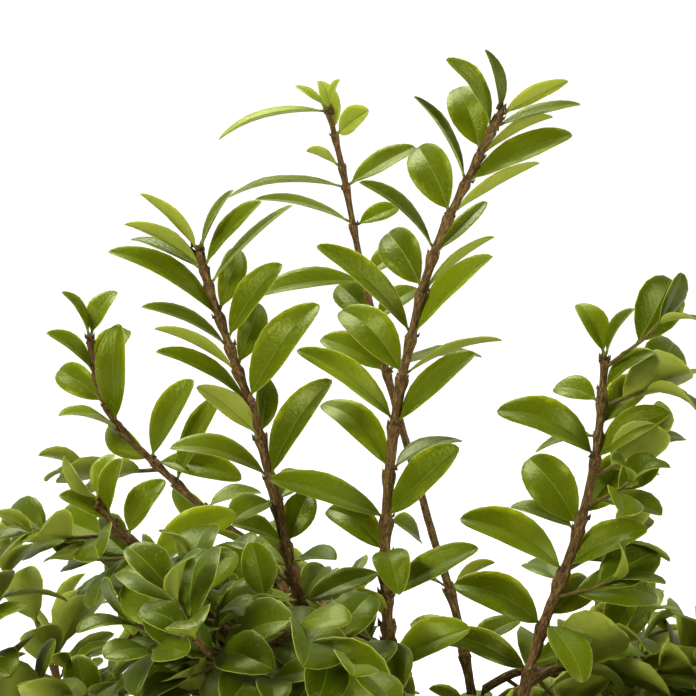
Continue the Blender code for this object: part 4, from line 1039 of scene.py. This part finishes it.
def open_aim(tip, spray, claims, *ignored):
    """Where a spray's stem ends, swung round its bough's tip to the first way that is open."""
    turn, elevation, length = spray
    rise = math.radians(elevation)
    level = math.cos(rise)
    for nudge in STEM_NUDGES:
        azimuth = math.atan2(tip.y, tip.x) + math.radians(turn + nudge)
        heading = Vector((level * math.cos(azimuth), level * math.sin(azimuth), math.sin(rise)))
        aim = tip + heading * length * MM
        way = Limb("way", [tip, tip.lerp(aim, 0.1), aim], 2 * SPRAY_RADII[0], 2 * SPRAY_RADII[0])
        if claims.free(stem_cage(way), *ignored):
            return aim
    return None


def plan_masses(boughs, claims):
    """Stems and twigs of every mass of foliage, before any leaf is set."""
    masses = {}
    for name, *_ in BOUGHS:
        if name in SHOOTS:
            route = spline_route([mm(*point) for point in SHOOTS[name][0]], 2)
            claims.add(stem_cage(Limb(name, route, *SHOOT_RADII)), "shoot_" + name)
    for name, _, _, _, sprays in BOUGHS:
        bough = boughs[name]
        tip, heading = along(bough.route, 1)
        own = bough.name, "shoot_" + name
        aims = [open_aim(tip, spray, claims, *own) for spray in sprays]
        aims = [aim for aim in aims if aim]
        marks, rows = SHOOTS.get(name, ((), None))
        marks = [mm(*point) for point in marks[1:]]
        feet = branch_starts(tip, heading, marks[:1] + aims, SHOOT_RADII[0])
        if marks:
            foot = feet.pop(0)
            route = [foot] + spline_route([foot + heading * SHOOT_RADII[0]] + marks, 2)
            masses[own[1]] = {"stem": Limb(own[1], route, *SHOOT_RADII), "twigs": [], "rows": rows}
        for rank, (aim, foot) in enumerate(zip(aims, feet), 1):
            arriving = ((aim - tip).normalized() + UP * 0.5).normalized()
            route = forked_route(foot, heading, aim, arriving, SPRAY_RADII[0], SPRAY_POINTS)
            limb = Limb(f"spray_{name}_{rank}", route, *SPRAY_RADII)
            if claims.free(stem_cage(limb), *own):
                claims.add(stem_cage(limb), limb.name)
                masses[limb.name] = {"stem": limb, "twigs": [], "rows": None}
    for seed, (name, mass) in enumerate(masses.items()):
        if mass["rows"] is None:
            mass["twigs"] = side_twigs(random.Random(500 + seed), name, mass["stem"].route, claims)
    return masses


def settle(leaf, owner, claims):
    """The leaf swung round its node to the first place where it touches nothing, or None."""
    for nudge in NUDGES:
        swing = Matrix.Rotation(math.radians(nudge), 3, "Z")
        swung = leaf._replace(chord=swing @ leaf.chord, normal=swing @ leaf.normal)
        cage = leaf_cage(swung)
        if claims.free(cage, owner):
            claims.add(cage, "leaf")
            return swung
    return None


def set_leaves(masses, claims):
    """Leaves of every mass, the laid-out shoots first. A leaf that would touch anything is left out."""
    order = sorted(masses, key=lambda name: masses[name]["rows"] is None)
    for seed, name in enumerate(order):
        mass = masses[name]
        rng = random.Random(900 + seed)
        stem = mass["stem"]
        if mass["rows"]:
            wanted = [(stem.name, leaf) for leaf in laid_out_leaves(stem.route, mass["rows"])]
        else:
            wanted = []
            bearers = [(stem, FIRST_PAIR[0], 1.0)]
            bearers += [(twig, FIRST_PAIR[1], TWIG_LEAF_SIZE) for twig in mass["twigs"]]
            for limb, first, size in bearers:
                grown = rule_leaves(rng, limb.route, first * MM, NODE_SPACING, LEAF_LENGTH * size)
                wanted += [(limb.name, leaf) for leaf in grown if in_crown(leaf)]
        settled = [settle(leaf, owner, claims) for owner, leaf in wanted]
        mass["leaves"] = [leaf for leaf in settled if leaf]


def distance_at(route, place):
    """How far along a route it passes nearest to a place."""
    best, travelled, found = 1e9, 0.0, 0.0
    for a, b in zip(route, route[1:]):
        span = b - a
        share = min(max((place - a).dot(span) / span.length_squared, 0.0), 1.0)
        gap = (a + span * share - place).length
        if gap < best:
            best, found = gap, travelled + share * span.length
        travelled += span.length
    return found


def clothe_bud_scales(skin, rng, limb, knots, length):
    """Adds small pointed scales round every node, which lie close along the stem."""
    total = route_length(limb.route)
    for knot in knots:
        centre, heading = along(limb.route, knot)
        share = knot / total
        radius = 1.3 * (limb.foot + (limb.tip - limb.foot) * share)
        for scale in range(SCALE_COUNT):
            out = spoke(heading, 2 * math.pi / SCALE_COUNT * scale + rng.uniform(-0.7, 0.7))
            edgeways = heading.cross(out)
            size = length * rng.uniform(0.7, 1.3) * (1.7 - 0.7 * share)
            foot = centre + out * radius * 0.8 + heading * rng.uniform(-0.6, 0.6) * MM
            wide, thick = size * SCALE_WIDTH, size * SCALE_THICKNESS
            tip = foot + (heading * 0.85 + out * rng.uniform(0.0, 0.5)) * size
            low, high = foot - out * thick, foot + out * thick * 2
            points = [foot - edgeways * wide, low, foot + edgeways * wide, high, tip]
            faces = [(0, 1, 4), (1, 2, 4), (2, 3, 4), (3, 0, 4), (3, 2, 1, 0)]
            skin.add(points, faces, [point - centre + UP * knot for point in points])


claims = Claims()
for limb in list(stems.values()) + list(boughs.values()):
    claims.add(tube_cage(limb.route, limb.foot + CLEARANCE, limb.tip + CLEARANCE, LIMB_SIDES), limb.name)
masses = plan_masses(boughs, claims)
set_leaves(masses, claims)
tall = [name for name, mass in masses.items() if mass["rows"]]
low = [name for name, mass in masses.items() if not mass["rows"]]

YOUNG_BARK = bark_finish(
    "young_bark",
    cleft=(0.030, 0.014, 0.002),
    ground=(0.140, 0.076, 0.014),
    flake=(0.44, 0.31, 0.090),
    ruddy=(0.150, 0.058, 0.012),
)
SCALE_BARK = bark_finish(
    "bud_scales",
    cleft=(0.036, 0.018, 0.003),
    ground=(0.115, 0.062, 0.012),
    flake=(0.30, 0.21, 0.055),
    ruddy=(0.125, 0.052, 0.012),
)
rng = random.Random(31)
shoot_wood, scales = Skin("limb_place"), Skin("limb_place")
for name in tall:
    route = masses[name]["stem"].route
    knots = []
    nodes = [distance_at(route, at_height(route, row[0] * MM)[0]) for row in masses[name]["rows"]]
    for knot in sorted(nodes):
        if not knots or knot > knots[-1] + KNOT_SPACING:
            knots.append(knot)
    slim = SLIM_SHOOTS.get(name, 1.0)
    shown = Limb(name, route, SHOWN_RADII[0] * slim, SHOWN_RADII[1] * slim)
    clothe_limb(shoot_wood, shown, *SHOOT_SKIN, knots=knots, flare=0.1, taper=1.2 * MM)
    clothe_bud_scales(scales, rng, shown, knots, SCALE_LENGTH)
    total = route_length(route)
    clothe_bud_scales(scales, rng, shown, [total - below for below in END_NODES], END_SCALE_LENGTH)
shoot_wood.piece("shoot_stems", [YOUNG_BARK], "bark", *tall)
scales.piece("shoot_bud_scales", [SCALE_BARK], "bark", *tall)

# ---- Twigs of the close crown
# Under the tall shoots the crown is a close mass of short sprays. Each spray forks into twigs, and the twigs
# carry short finer ones, all slim brown wood that greens towards its tips.

FINE_RADII = (0.62 * MM, 0.42 * MM)
FINE_SPACING = 8.5  # in millimetres, as the two kinds of lengths below
FINE_LENGTHS = (12, 23)
FINE_LEAF_LENGTHS = (17, 23)
FINE_TURN, NEXT_TURN = 2.4, 1.7  # radians round the limb from one fine twig to the next, and to its next try
FINE_TRIES = 4
FINE_LEAF_SPACING = (5 * MM, 7 * MM)  # from a fine twig's foot to its first leaves, and on to the next
FIRST_FINE_TWIG = {"spray": 8, "bough": 12, "shoot": 3}  # how far up each limb they start, in millimetres
SHOWN_SHARE = 0.9  # the crown's leaves are shown shorter than the solids', to make room for more
REACH_MARGIN = 3 * MM
SPRAY_SKIN, TWIG_SKIN, FINE_SKIN = (9, 2.2 * MM, 0.08), (7, 2.6 * MM, 0.06), (5, 3.5 * MM, 0.04)


def inside_reach(leaf):
    """True if a leaf ends within the plant's own reach."""
    tip = leaf.base + leaf.chord
    return all(cad_low[axis] - REACH_MARGIN < tip[axis] < cad_high[axis] + REACH_MARGIN for axis in (0, 1))


def fine_twigs(rng, carrier, first, filled):
    """Short twigs that leave a limb at every node, with the leaves that find room on them."""
    total = route_length(carrier.route)
    grown = []
    distance = first * MM
    rank = 0
    while distance < total - 3 * MM:
        base, heading = along(carrier.route, distance)
        turn = FINE_TURN * rank + rng.uniform(-0.4, 0.4)
        for _ in range(FINE_TRIES):
            leaving = heading * 0.5 + spoke(heading, turn) * 0.9 + UP * rng.uniform(-0.05, 0.45)
            leaving = leaving.normalized()
            length = rng.uniform(*FINE_LENGTHS) * MM
            route = bent_route(base, leaving, base + leaving * length, (leaving + UP * 0.35).normalized(), 4)
            twig = Limb(f"{carrier.name}_fine_{rank}", route, *FINE_RADII)
            cage = stem_cage(twig)
            if filled.free(cage, carrier.name) and route[-1].z < crown_top(route[-1]) - 4 * MM:
                wanted = rule_leaves(rng, route, *FINE_LEAF_SPACING, rng.uniform(*FINE_LEAF_LENGTHS) * MM)
                wanted = [leaf for leaf in wanted if in_crown(leaf) and inside_reach(leaf)]
                settled = [settle(leaf, twig.name, filled) for leaf in wanted]
                if any(settled):
                    filled.add(cage, twig.name)
                    grown.append((twig, [leaf for leaf in settled if leaf]))
                    break
            turn += NEXT_TURN
        distance += FINE_SPACING * rng.uniform(0.85, 1.15) * MM
        rank += 1
    return grown


def resized(leaf, share, broader=1.0):
    """The same leaf at a share of its length, and broader for its length."""
    return leaf._replace(chord=leaf.chord * share, width=leaf.width * share * broader)


filled = Claims()
for limb in list(stems.values()) + list(boughs.values()):
    filled.add(tube_cage(limb.route, limb.foot, limb.tip), limb.name)
for mass in masses.values():
    for limb in [mass["stem"]] + mass["twigs"]:
        filled.add(stem_cage(limb), limb.name)
    mass["leaves"] = [resized(leaf, 1.0 if mass["rows"] else SHOWN_SHARE) for leaf in mass["leaves"]]
    for leaf in mass["leaves"]:
        filled.add(leaf_cage(leaf), "leaf")
rng = random.Random(47)
fine = {name: [] for name in low}
for name in low:
    for limb in [masses[name]["stem"]] + masses[name]["twigs"]:
        fine[name] += fine_twigs(rng, limb, FIRST_FINE_TWIG["spray"], filled)
inner = []
for bough in boughs.values():
    inner += fine_twigs(rng, bough, FIRST_FINE_TWIG["bough"], filled)
for name in tall:
    inner += fine_twigs(rng, masses[name]["stem"], FIRST_FINE_TWIG["shoot"], filled)

GREEN_BARK = bark_finish(
    "green_bark",
    cleft=(0.055, 0.038, 0.007),
    ground=(0.15, 0.12, 0.022),
    flake=(0.28, 0.235, 0.055),
    ruddy=(0.17, 0.095, 0.022),
)
twig_wood, fine_wood = Skin("limb_place"), Skin("limb_place")
for name in low:
    clothe_limb(twig_wood, masses[name]["stem"], *SPRAY_SKIN)
    for twig in masses[name]["twigs"]:
        clothe_limb(twig_wood, twig, *TWIG_SKIN)
for twig, _ in inner + [pair for pairs in fine.values() for pair in pairs]:
    clothe_limb(fine_wood, twig, *FINE_SKIN)
twig_wood.piece("spray_twigs", [YOUNG_BARK], "bark", *low)
fine_wood.piece("fine_twigs", [GREEN_BARK], "bark", *low)

# ---- Leaves
# Small leathery evergreen leaves on short stalks, each folded a little along its rib and arched to its tip.
# They are glossy above and paler and dull below, and light shines through them. Their fine pale edge is
# partly the leaf's own margin and partly painted rim light.

STALK_HALF = 0.45 * MM
STALK_HALF_THICKNESS = 0.36 * MM
BLADE_HALF_THICKNESS = 0.15 * MM
RIB_HALF = 0.14 * MM
RIB_FURROW, RIB_RIDGE = 0.08 * MM, 0.16 * MM  # how far the rib sinks above, and stands out below
EDGE_WIDTH = 0.16 * MM
FINE_STATIONS = (0.03, 0.08, 0.16, 0.27, 0.40, 0.53, 0.66, 0.78, 0.88, 0.945, 0.985)
PLAIN_STATIONS = (0.05, 0.17, 0.34, 0.53, 0.72, 0.88, 0.97)
UPPER = ("-edge", "-rim", "-half", "-rib", "rib", "half", "rim", "edge")
FINE_UNDER = ("half", "rib", "-rib", "-half")
PLAIN_UNDER = ("middle",)
TINTS = 4
UNDER, RIB, EDGE = TINTS, TINTS + 1, TINTS + 2
SHOOT_STALK, SPRAY_STALK, FINE_STALK = 2.2 * MM, 1.7 * MM, 1.3 * MM
SHOOT_LEAF, SPRAY_LEAF = (1.0, 1.05), (1.0, 1.36)  # share of the planned length, and how much broader
FINE_LEAF, INNER_LEAF = (1.08, 1.30), (1.0, 1.34)
SHOOT_FOLDS, PLAIN_FOLDS = (0.36, 0.48), (0.12, 0.42)  # each from least to most, as what follows
PLAIN_WIDESTS, PLAIN_ARCHES = (0.50, 0.62), (0.2, 1.3)
FACING_HOOKS, TURNED_HOOKS, PLAIN_HOOKS = (0.10, 0.15), (0.01, 0.05), (0.01, 0.12)
PLAIN_BLUNTNESS = 0.46
YOUNG_HEIGHT = 384 * MM  # the back shoot's leaves are young above this
MOTTLES = (170.0, 0.32, 0.70, 4.0)  # marks a metre, the levels that they show between, and detail
PORES = (1500.0, 0.30, 0.70, 3.0)
FLECKS = (1250.0, 0.66, 0.74, 1.0)
FLECK_COLOUR = (0.30, 0.34, 0.13)
VEINS_ALONG, VEINS_ASIDE, VEIN_WANDER = 64.0, 15.0, 5.0
GLOW = {"Subsurface_Weight": 0.55, "Subsurface_Radius": (1.0, 0.95, 0.3), "Subsurface_Scale": 0.9 * MM}
DULL = {"Specular_IOR_Level": 0.15}
GLOSS = {"Specular_IOR_Level": 0.28, "Specular_Tint": (0.85, 1.0, 0.15, 1.0), "Coat_Weight": 0.02}
GLOSS["Coat_Roughness"] = 0.16

Blade = namedtuple("Blade", "leaf stalk tint fold widest hook blunt")


def outline(t, widest, blunt):
    """A leaf's half width at a share of its length: narrow at the stalk, broad midway, blunt at the tip."""
    if t < widest:
        return math.sin(math.pi / 2 * t / widest) ** 0.64
    return math.cos(math.pi / 2 * (t - widest) / (1 - widest)) ** blunt


def ring_shares(under, half):
    """How far each point of a leaf's ring stands from its rib, as a share of the half width there."""
    rib, rim = min(RIB_HALF / half, 0.2), 1 - min(EDGE_WIDTH / half, 0.25)
    shares = {"middle": 0.0, "rib": rib, "half": 0.55, "rim": rim, "edge": 1.0}
    return [-shares[word[1:]] if word[0] == "-" else shares[word] for word in UPPER + under]


def clothe_leaf(skin, rng, blade, stations, under):
    """Adds a leaf: rings across its stalk and blade, upper side first, closed at its tip."""
    forward, across, normal, length = leaf_axes(blade.leaf)
    ring = len(UPPER + under)
    stalk = min(blade.stalk, 0.3 * length)
    half_width = blade.leaf.width / 2
    rise = blade.leaf.arch * length / 8
    crowned = rng.uniform(0.05, 0.12)
    ripple, phase, own_shade = rng.uniform(0.0, 0.05), rng.uniform(0, 6.3), rng.random()
    hook = blade.hook * length
    points, marks = [], []
    for row, t in enumerate((None, 0.0) + stations):
        on_stalk = row < 2
        reach = stalk * row if on_stalk else stalk + t * (length - stalk)
        half = STALK_HALF if on_stalk else max(half_width * outline(t, blade.widest, blade.blunt), STALK_HALF)
        thick = STALK_HALF_THICKNESS if on_stalk else BLADE_HALF_THICKNESS
        share = reach / length
        for place, s in enumerate(ring_shares(under, half)):
            top = place < len(UPPER)
            lift = (1 if top else -1) * thick * math.sqrt(1 - s * s)
            if not on_stalk:
                out = abs(s)
                lift += half * (blade.fold * out + crowned * math.sin(math.pi * out) - 0.05 * out**4)
                lift += half * ripple * s * s * math.sin(4 * math.pi * t + phase)
                if out < 0.25 and "rib" in (UPPER + under)[place]:
                    lift -= (RIB_FURROW if top else RIB_RIDGE) * (1 - t)
                lift -= hook * max(0.0, (t - 0.5) / 0.5) ** 2
            lift += 4 * rise * share * (1 - share)
            aside = half * s + 4 * blade.leaf.sweep * share * (1 - share)
            points.append(blade.leaf.base + forward * reach + across * aside + normal * lift)
            marks.append((s, 0.0 if on_stalk else t, own_shade))
    points.append(blade.leaf.base + forward * length - normal * hook)
    marks.append((0.0, 1.0, own_shade))
    strips = [EDGE, blade.tint, blade.tint, RIB, blade.tint, blade.tint, EDGE] + [UNDER] * (len(under) + 1)
    if len(under) > 1:
        strips[9] = RIB
    rows = len(stations) + 2
    faces, finishes = [tuple(range(ring))], [RIB]
    for row in range(rows - 1):
        for k in range(ring):
            after = (k + 1) % ring
            faces.append((row * ring + k, (row + 1) * ring + k, (row + 1) * ring + after, row * ring + after))
            finishes.append(RIB if row == 0 else strips[k])
    last = (rows - 1) * ring
    for k in range(ring):
        faces.append((last + k, len(points) - 1, last + (k + 1) % ring))
        finishes.append(strips[k])
    skin.add(points, faces, marks, finishes)


def clothe_plain_leaf(skin, rng, leaf, stalk, tint):
    """Adds a leaf of the close crown, with its own fold, widest place and hook at its tip."""
    fold, widest, hook = (rng.uniform(*bounds) for bounds in (PLAIN_FOLDS, PLAIN_WIDESTS, PLAIN_HOOKS))
    blade = Blade(leaf, stalk, tint, fold, widest, hook, PLAIN_BLUNTNESS)
    clothe_leaf(skin, rng, blade, PLAIN_STATIONS, PLAIN_UNDER)


def leaf_surface():
    """The node group for leaves: soft mottling, each leaf's own shade, and a height with its side veins."""
    group = new_group("leaf_surface", (), ("Mottle", "Own Shade", "Fleck", "Height"))
    told = add_node(group, "ShaderNodeAttribute", attribute_name="blade_place").outputs["Vector"]
    parts = add_node(group, "ShaderNodeSeparateXYZ", {0: told}).outputs
    aside = reckon(group, "ABSOLUTE", parts["X"])
    place = object_place(group)
    mottle = noise_mask(group, place, *MOTTLES)
    lengthwise, aside = product(group, parts["Y"], VEINS_ALONG), product(group, aside, VEINS_ASIDE)
    run = reckon(group, "SUBTRACT", lengthwise, aside)
    veins = reckon(group, "SINE", blend(group, (run, 1), (mottle, VEIN_WANDER)))
    pores = noise_mask(group, place, *PORES)
    fleck = noise_mask(group, place, *FLECKS)
    height = blend(group, (veins, 0.13), (pores, 0.8))
    fine = blend(group, (mottle, 0.55), (pores, 0.35), (veins, 0.08))
    given = {"Mottle": fine, "Own Shade": parts["Z"], "Fleck": fleck, "Height": height}
    add_node(group, "NodeGroupOutput", given)
    return group


LEAF_SURFACE = leaf_surface()


def leaf_finish(name, dark, light, rough, relief, sheen):
    """A leaf's finish: its colour between dark and light, with light that shines through."""
    made, tree, shader = finish_of(name, **GLOW, **sheen)
    surface = add_node(tree, "ShaderNodeGroup", node_tree=LEAF_SURFACE).outputs
    shade = blend(tree, (surface["Mottle"], 0.55), (surface["Own Shade"], 0.45))
    colour = tinted(tree, shade, dark, light)
    colour = tinted(tree, product(tree, surface["Fleck"], 0.22), colour, FLECK_COLOUR)
    coat(tree, shader, colour, surface["Mottle"], rough - 0.05, rough + 0.07)
    roughen(tree, shader, surface["Height"], relief * MM, 0.5)
    return made


LEAF_FINISHES = [
    leaf_finish("leaf_deep", (0.044, 0.066, 0.001), (0.074, 0.102, 0.001), 0.35, 0.10, GLOSS),
    leaf_finish("leaf_green", (0.070, 0.100, 0.001), (0.112, 0.148, 0.002), 0.35, 0.10, GLOSS),
    leaf_finish("leaf_fresh", (0.112, 0.152, 0.002), (0.164, 0.210, 0.004), 0.36, 0.08, GLOSS),
    leaf_finish("leaf_young", (0.190, 0.235, 0.012), (0.265, 0.315, 0.035), 0.38, 0.04, GLOSS),
    leaf_finish("leaf_under", (0.215, 0.255, 0.020), (0.315, 0.350, 0.046), 0.52, 0.09, DULL),
    leaf_finish("leaf_rib", (0.115, 0.160, 0.004), (0.170, 0.220, 0.010), 0.45, 0.02, DULL),
    # The pale edge colour is partly the leaf's own margin and partly painted rim light.
    leaf_finish("leaf_edge", (0.200, 0.240, 0.030), (0.285, 0.330, 0.070), 0.42, 0.02, DULL),
]

rng, shades = random.Random(63), random.Random(14408)
skin = Skin("blade_place")
for name in tall:
    for leaf in laid_out_leaves(masses[name]["stem"].route, masses[name]["rows"]):
        youth = 3 if name == "shoot_back" and leaf.base.z > YOUNG_HEIGHT else 1
        tint = min(max(youth + shades.choice((-1, 0, 0, 0, 0, 1)), 0), TINTS - 1)
        facing = max(leaf.normal.dot(VIEWER), 0.0)
        hook = rng.uniform(*(FACING_HOOKS if facing > 0.75 else TURNED_HOOKS))
        fold, widest = rng.uniform(*SHOOT_FOLDS), 0.47 + 0.08 * facing + rng.uniform(-0.03, 0.03)
        shown = resized(leaf, *SHOOT_LEAF)
        blade = Blade(shown, SHOOT_STALK, tint, fold, widest, hook, 0.57 - 0.15 * facing)
        clothe_leaf(skin, rng, blade, FINE_STATIONS, FINE_UNDER)
skin.piece("shoot_leaves", LEAF_FINISHES, "foliage", *tall)

for half, names in enumerate((low[0::2], low[1::2]), 1):
    skin = Skin("blade_place")
    for name in names:
        # Sprays of the close crown get the deep tint more often than the tall shoots: partly the crown's own
        # darker leaves, partly painted shade.
        spray_tint = rng.choice((0, 0, 1, 1))
        grown = [(resized(leaf, *SPRAY_LEAF), SPRAY_STALK) for leaf in masses[name]["leaves"]]
        grown += [(resized(leaf, *FINE_LEAF), FINE_STALK) for _, leaves in fine[name] for leaf in leaves]
        for leaf, stalk in grown:
            tint = min(max(spray_tint + rng.choice((-1, 0, 0, 1)), 0), TINTS - 1)
            clothe_plain_leaf(skin, rng, leaf._replace(arch=rng.uniform(*PLAIN_ARCHES)), stalk, tint)
    skin.piece(f"crown_leaves_{half}", LEAF_FINISHES, "foliage", *names)
skin = Skin("blade_place")
for leaf in (leaf for _, leaves in inner for leaf in leaves):
    # Inner leaves mostly get the deep tint: partly older leaves' own darker green, partly painted shade
    # inside the crown.
    tint = rng.choice((0, 0, 0, 1))
    clothe_plain_leaf(skin, rng, resized(leaf, *INNER_LEAF), FINE_STALK, tint)
skin.piece("inner_leaves", LEAF_FINISHES, "foliage", *low)

# ---- Studio
# A pale floor that runs out of sight, a white surround that is brighter behind the plant, and three soft
# round lamps: over it, in front on the left, and on the right. The camera looks at the plant's upper part.

FLOOR_RADIUS = 26.0
FLOOR_GREYS = (0.88, 0.88, 0.88), (0.91, 0.91, 0.91)
FLOOR_GLOW = 0.8  # only for the camera, so that the floor runs into the white behind it
SURROUND = (0.1, 0.75, 0.07, 1.2)  # from where to where it brightens, and from how bright to how bright
GLOSSY_SHARE = 0.45
LAMPS = (
    ("lamp_above", (-0.35, 0.35, 1.45), 0.8, 22.0),
    ("lamp_front_left", (-1.1, -1.15, 1.15), 0.55, 26.0),
    ("lamp_right", (1.4, -0.45, 0.9), 0.6, 16.0),
)  # name, place, width and power
LAMP_AIM = Vector((0, 0, 0.3))
LOOK_AT = Vector((-0.003, -0.020, 0.345))
CAMERA_TILT = math.radians(6)
CAMERA_DISTANCE = 0.9


def mixed(tree, mask, usual, other):
    """The usual level, or the other where the mask is light."""
    return add_node(tree, "ShaderNodeMix", {0: mask, 2: usual, 3: other}, data_type="FLOAT").outputs[0]


flat = {"vertices": 128, "radius": FLOOR_RADIUS, "fill_type": "NGON"}
floor = start_piece("studio_floor", bpy.ops.mesh.primitive_circle_add, **flat)
made, tree, shader = finish_of("pale_floor", Roughness=0.9, Emission_Color=(1, 1, 1, 1))
pale = tinted(tree, noise_mask(tree, object_place(tree), 9.0, 0.3, 0.7), *FLOOR_GREYS)
tree.links.new(pale, shader.inputs["Base Color"])
seen = add_node(tree, "ShaderNodeLightPath").outputs["Is Camera Ray"]
tree.links.new(product(tree, seen, FLOOR_GLOW), shader.inputs["Emission Strength"])
floor.data.materials.append(made)
floor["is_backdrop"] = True

world = bpy.data.worlds.new("white_surround")
bpy.context.scene.world = world
world.use_nodes = True
tree = world.node_tree
around = add_node(tree, "ShaderNodeTexCoord").outputs["Generated"]
behind = add_node(tree, "ShaderNodeSeparateXYZ", {0: around}).outputs["Y"]
level = ranged(tree, behind, *SURROUND, kind="SMOOTHSTEP")
ray = add_node(tree, "ShaderNodeLightPath").outputs
level = mixed(tree, ray["Is Glossy Ray"], level, product(tree, level, GLOSSY_SHARE))
backdrop = tree.nodes["Background"]
tree.links.new(mixed(tree, ray["Is Camera Ray"], level, 1.0), backdrop.inputs["Strength"])
backdrop.inputs["Color"].default_value = (1, 1, 1, 1)

for name, place, width, power in LAMPS:
    lamp = add_object(name, bpy.data.lights.new(name, "AREA"))
    lamp.data.shape = "DISK"
    lamp.data.size = width
    lamp.data.energy = power
    lamp.location = place
    lamp.rotation_mode = "QUATERNION"
    lamp.rotation_quaternion = (LAMP_AIM - lamp.location).to_track_quat("-Z", "Y")
    lamp.visible_camera = False

looking = Vector((0, math.cos(CAMERA_TILT), -math.sin(CAMERA_TILT)))
lens = bpy.data.cameras.new("camera")
lens.lens = 186.2
lens.sensor_width = 36
lens.clip_start = 0.01
lens.clip_end = 60
camera = add_object("camera", lens)
camera.location = LOOK_AT - looking * CAMERA_DISTANCE
camera.rotation_mode = "QUATERNION"
camera.rotation_quaternion = looking.to_track_quat("-Z", "Y")
bpy.context.scene.camera = camera
bpy.context.scene.view_settings.view_transform = "Standard"

low_corner, high_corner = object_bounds()
sizes = {"cad": [list(cad_low), list(cad_high)], "visual": [list(low_corner), list(high_corner)]}
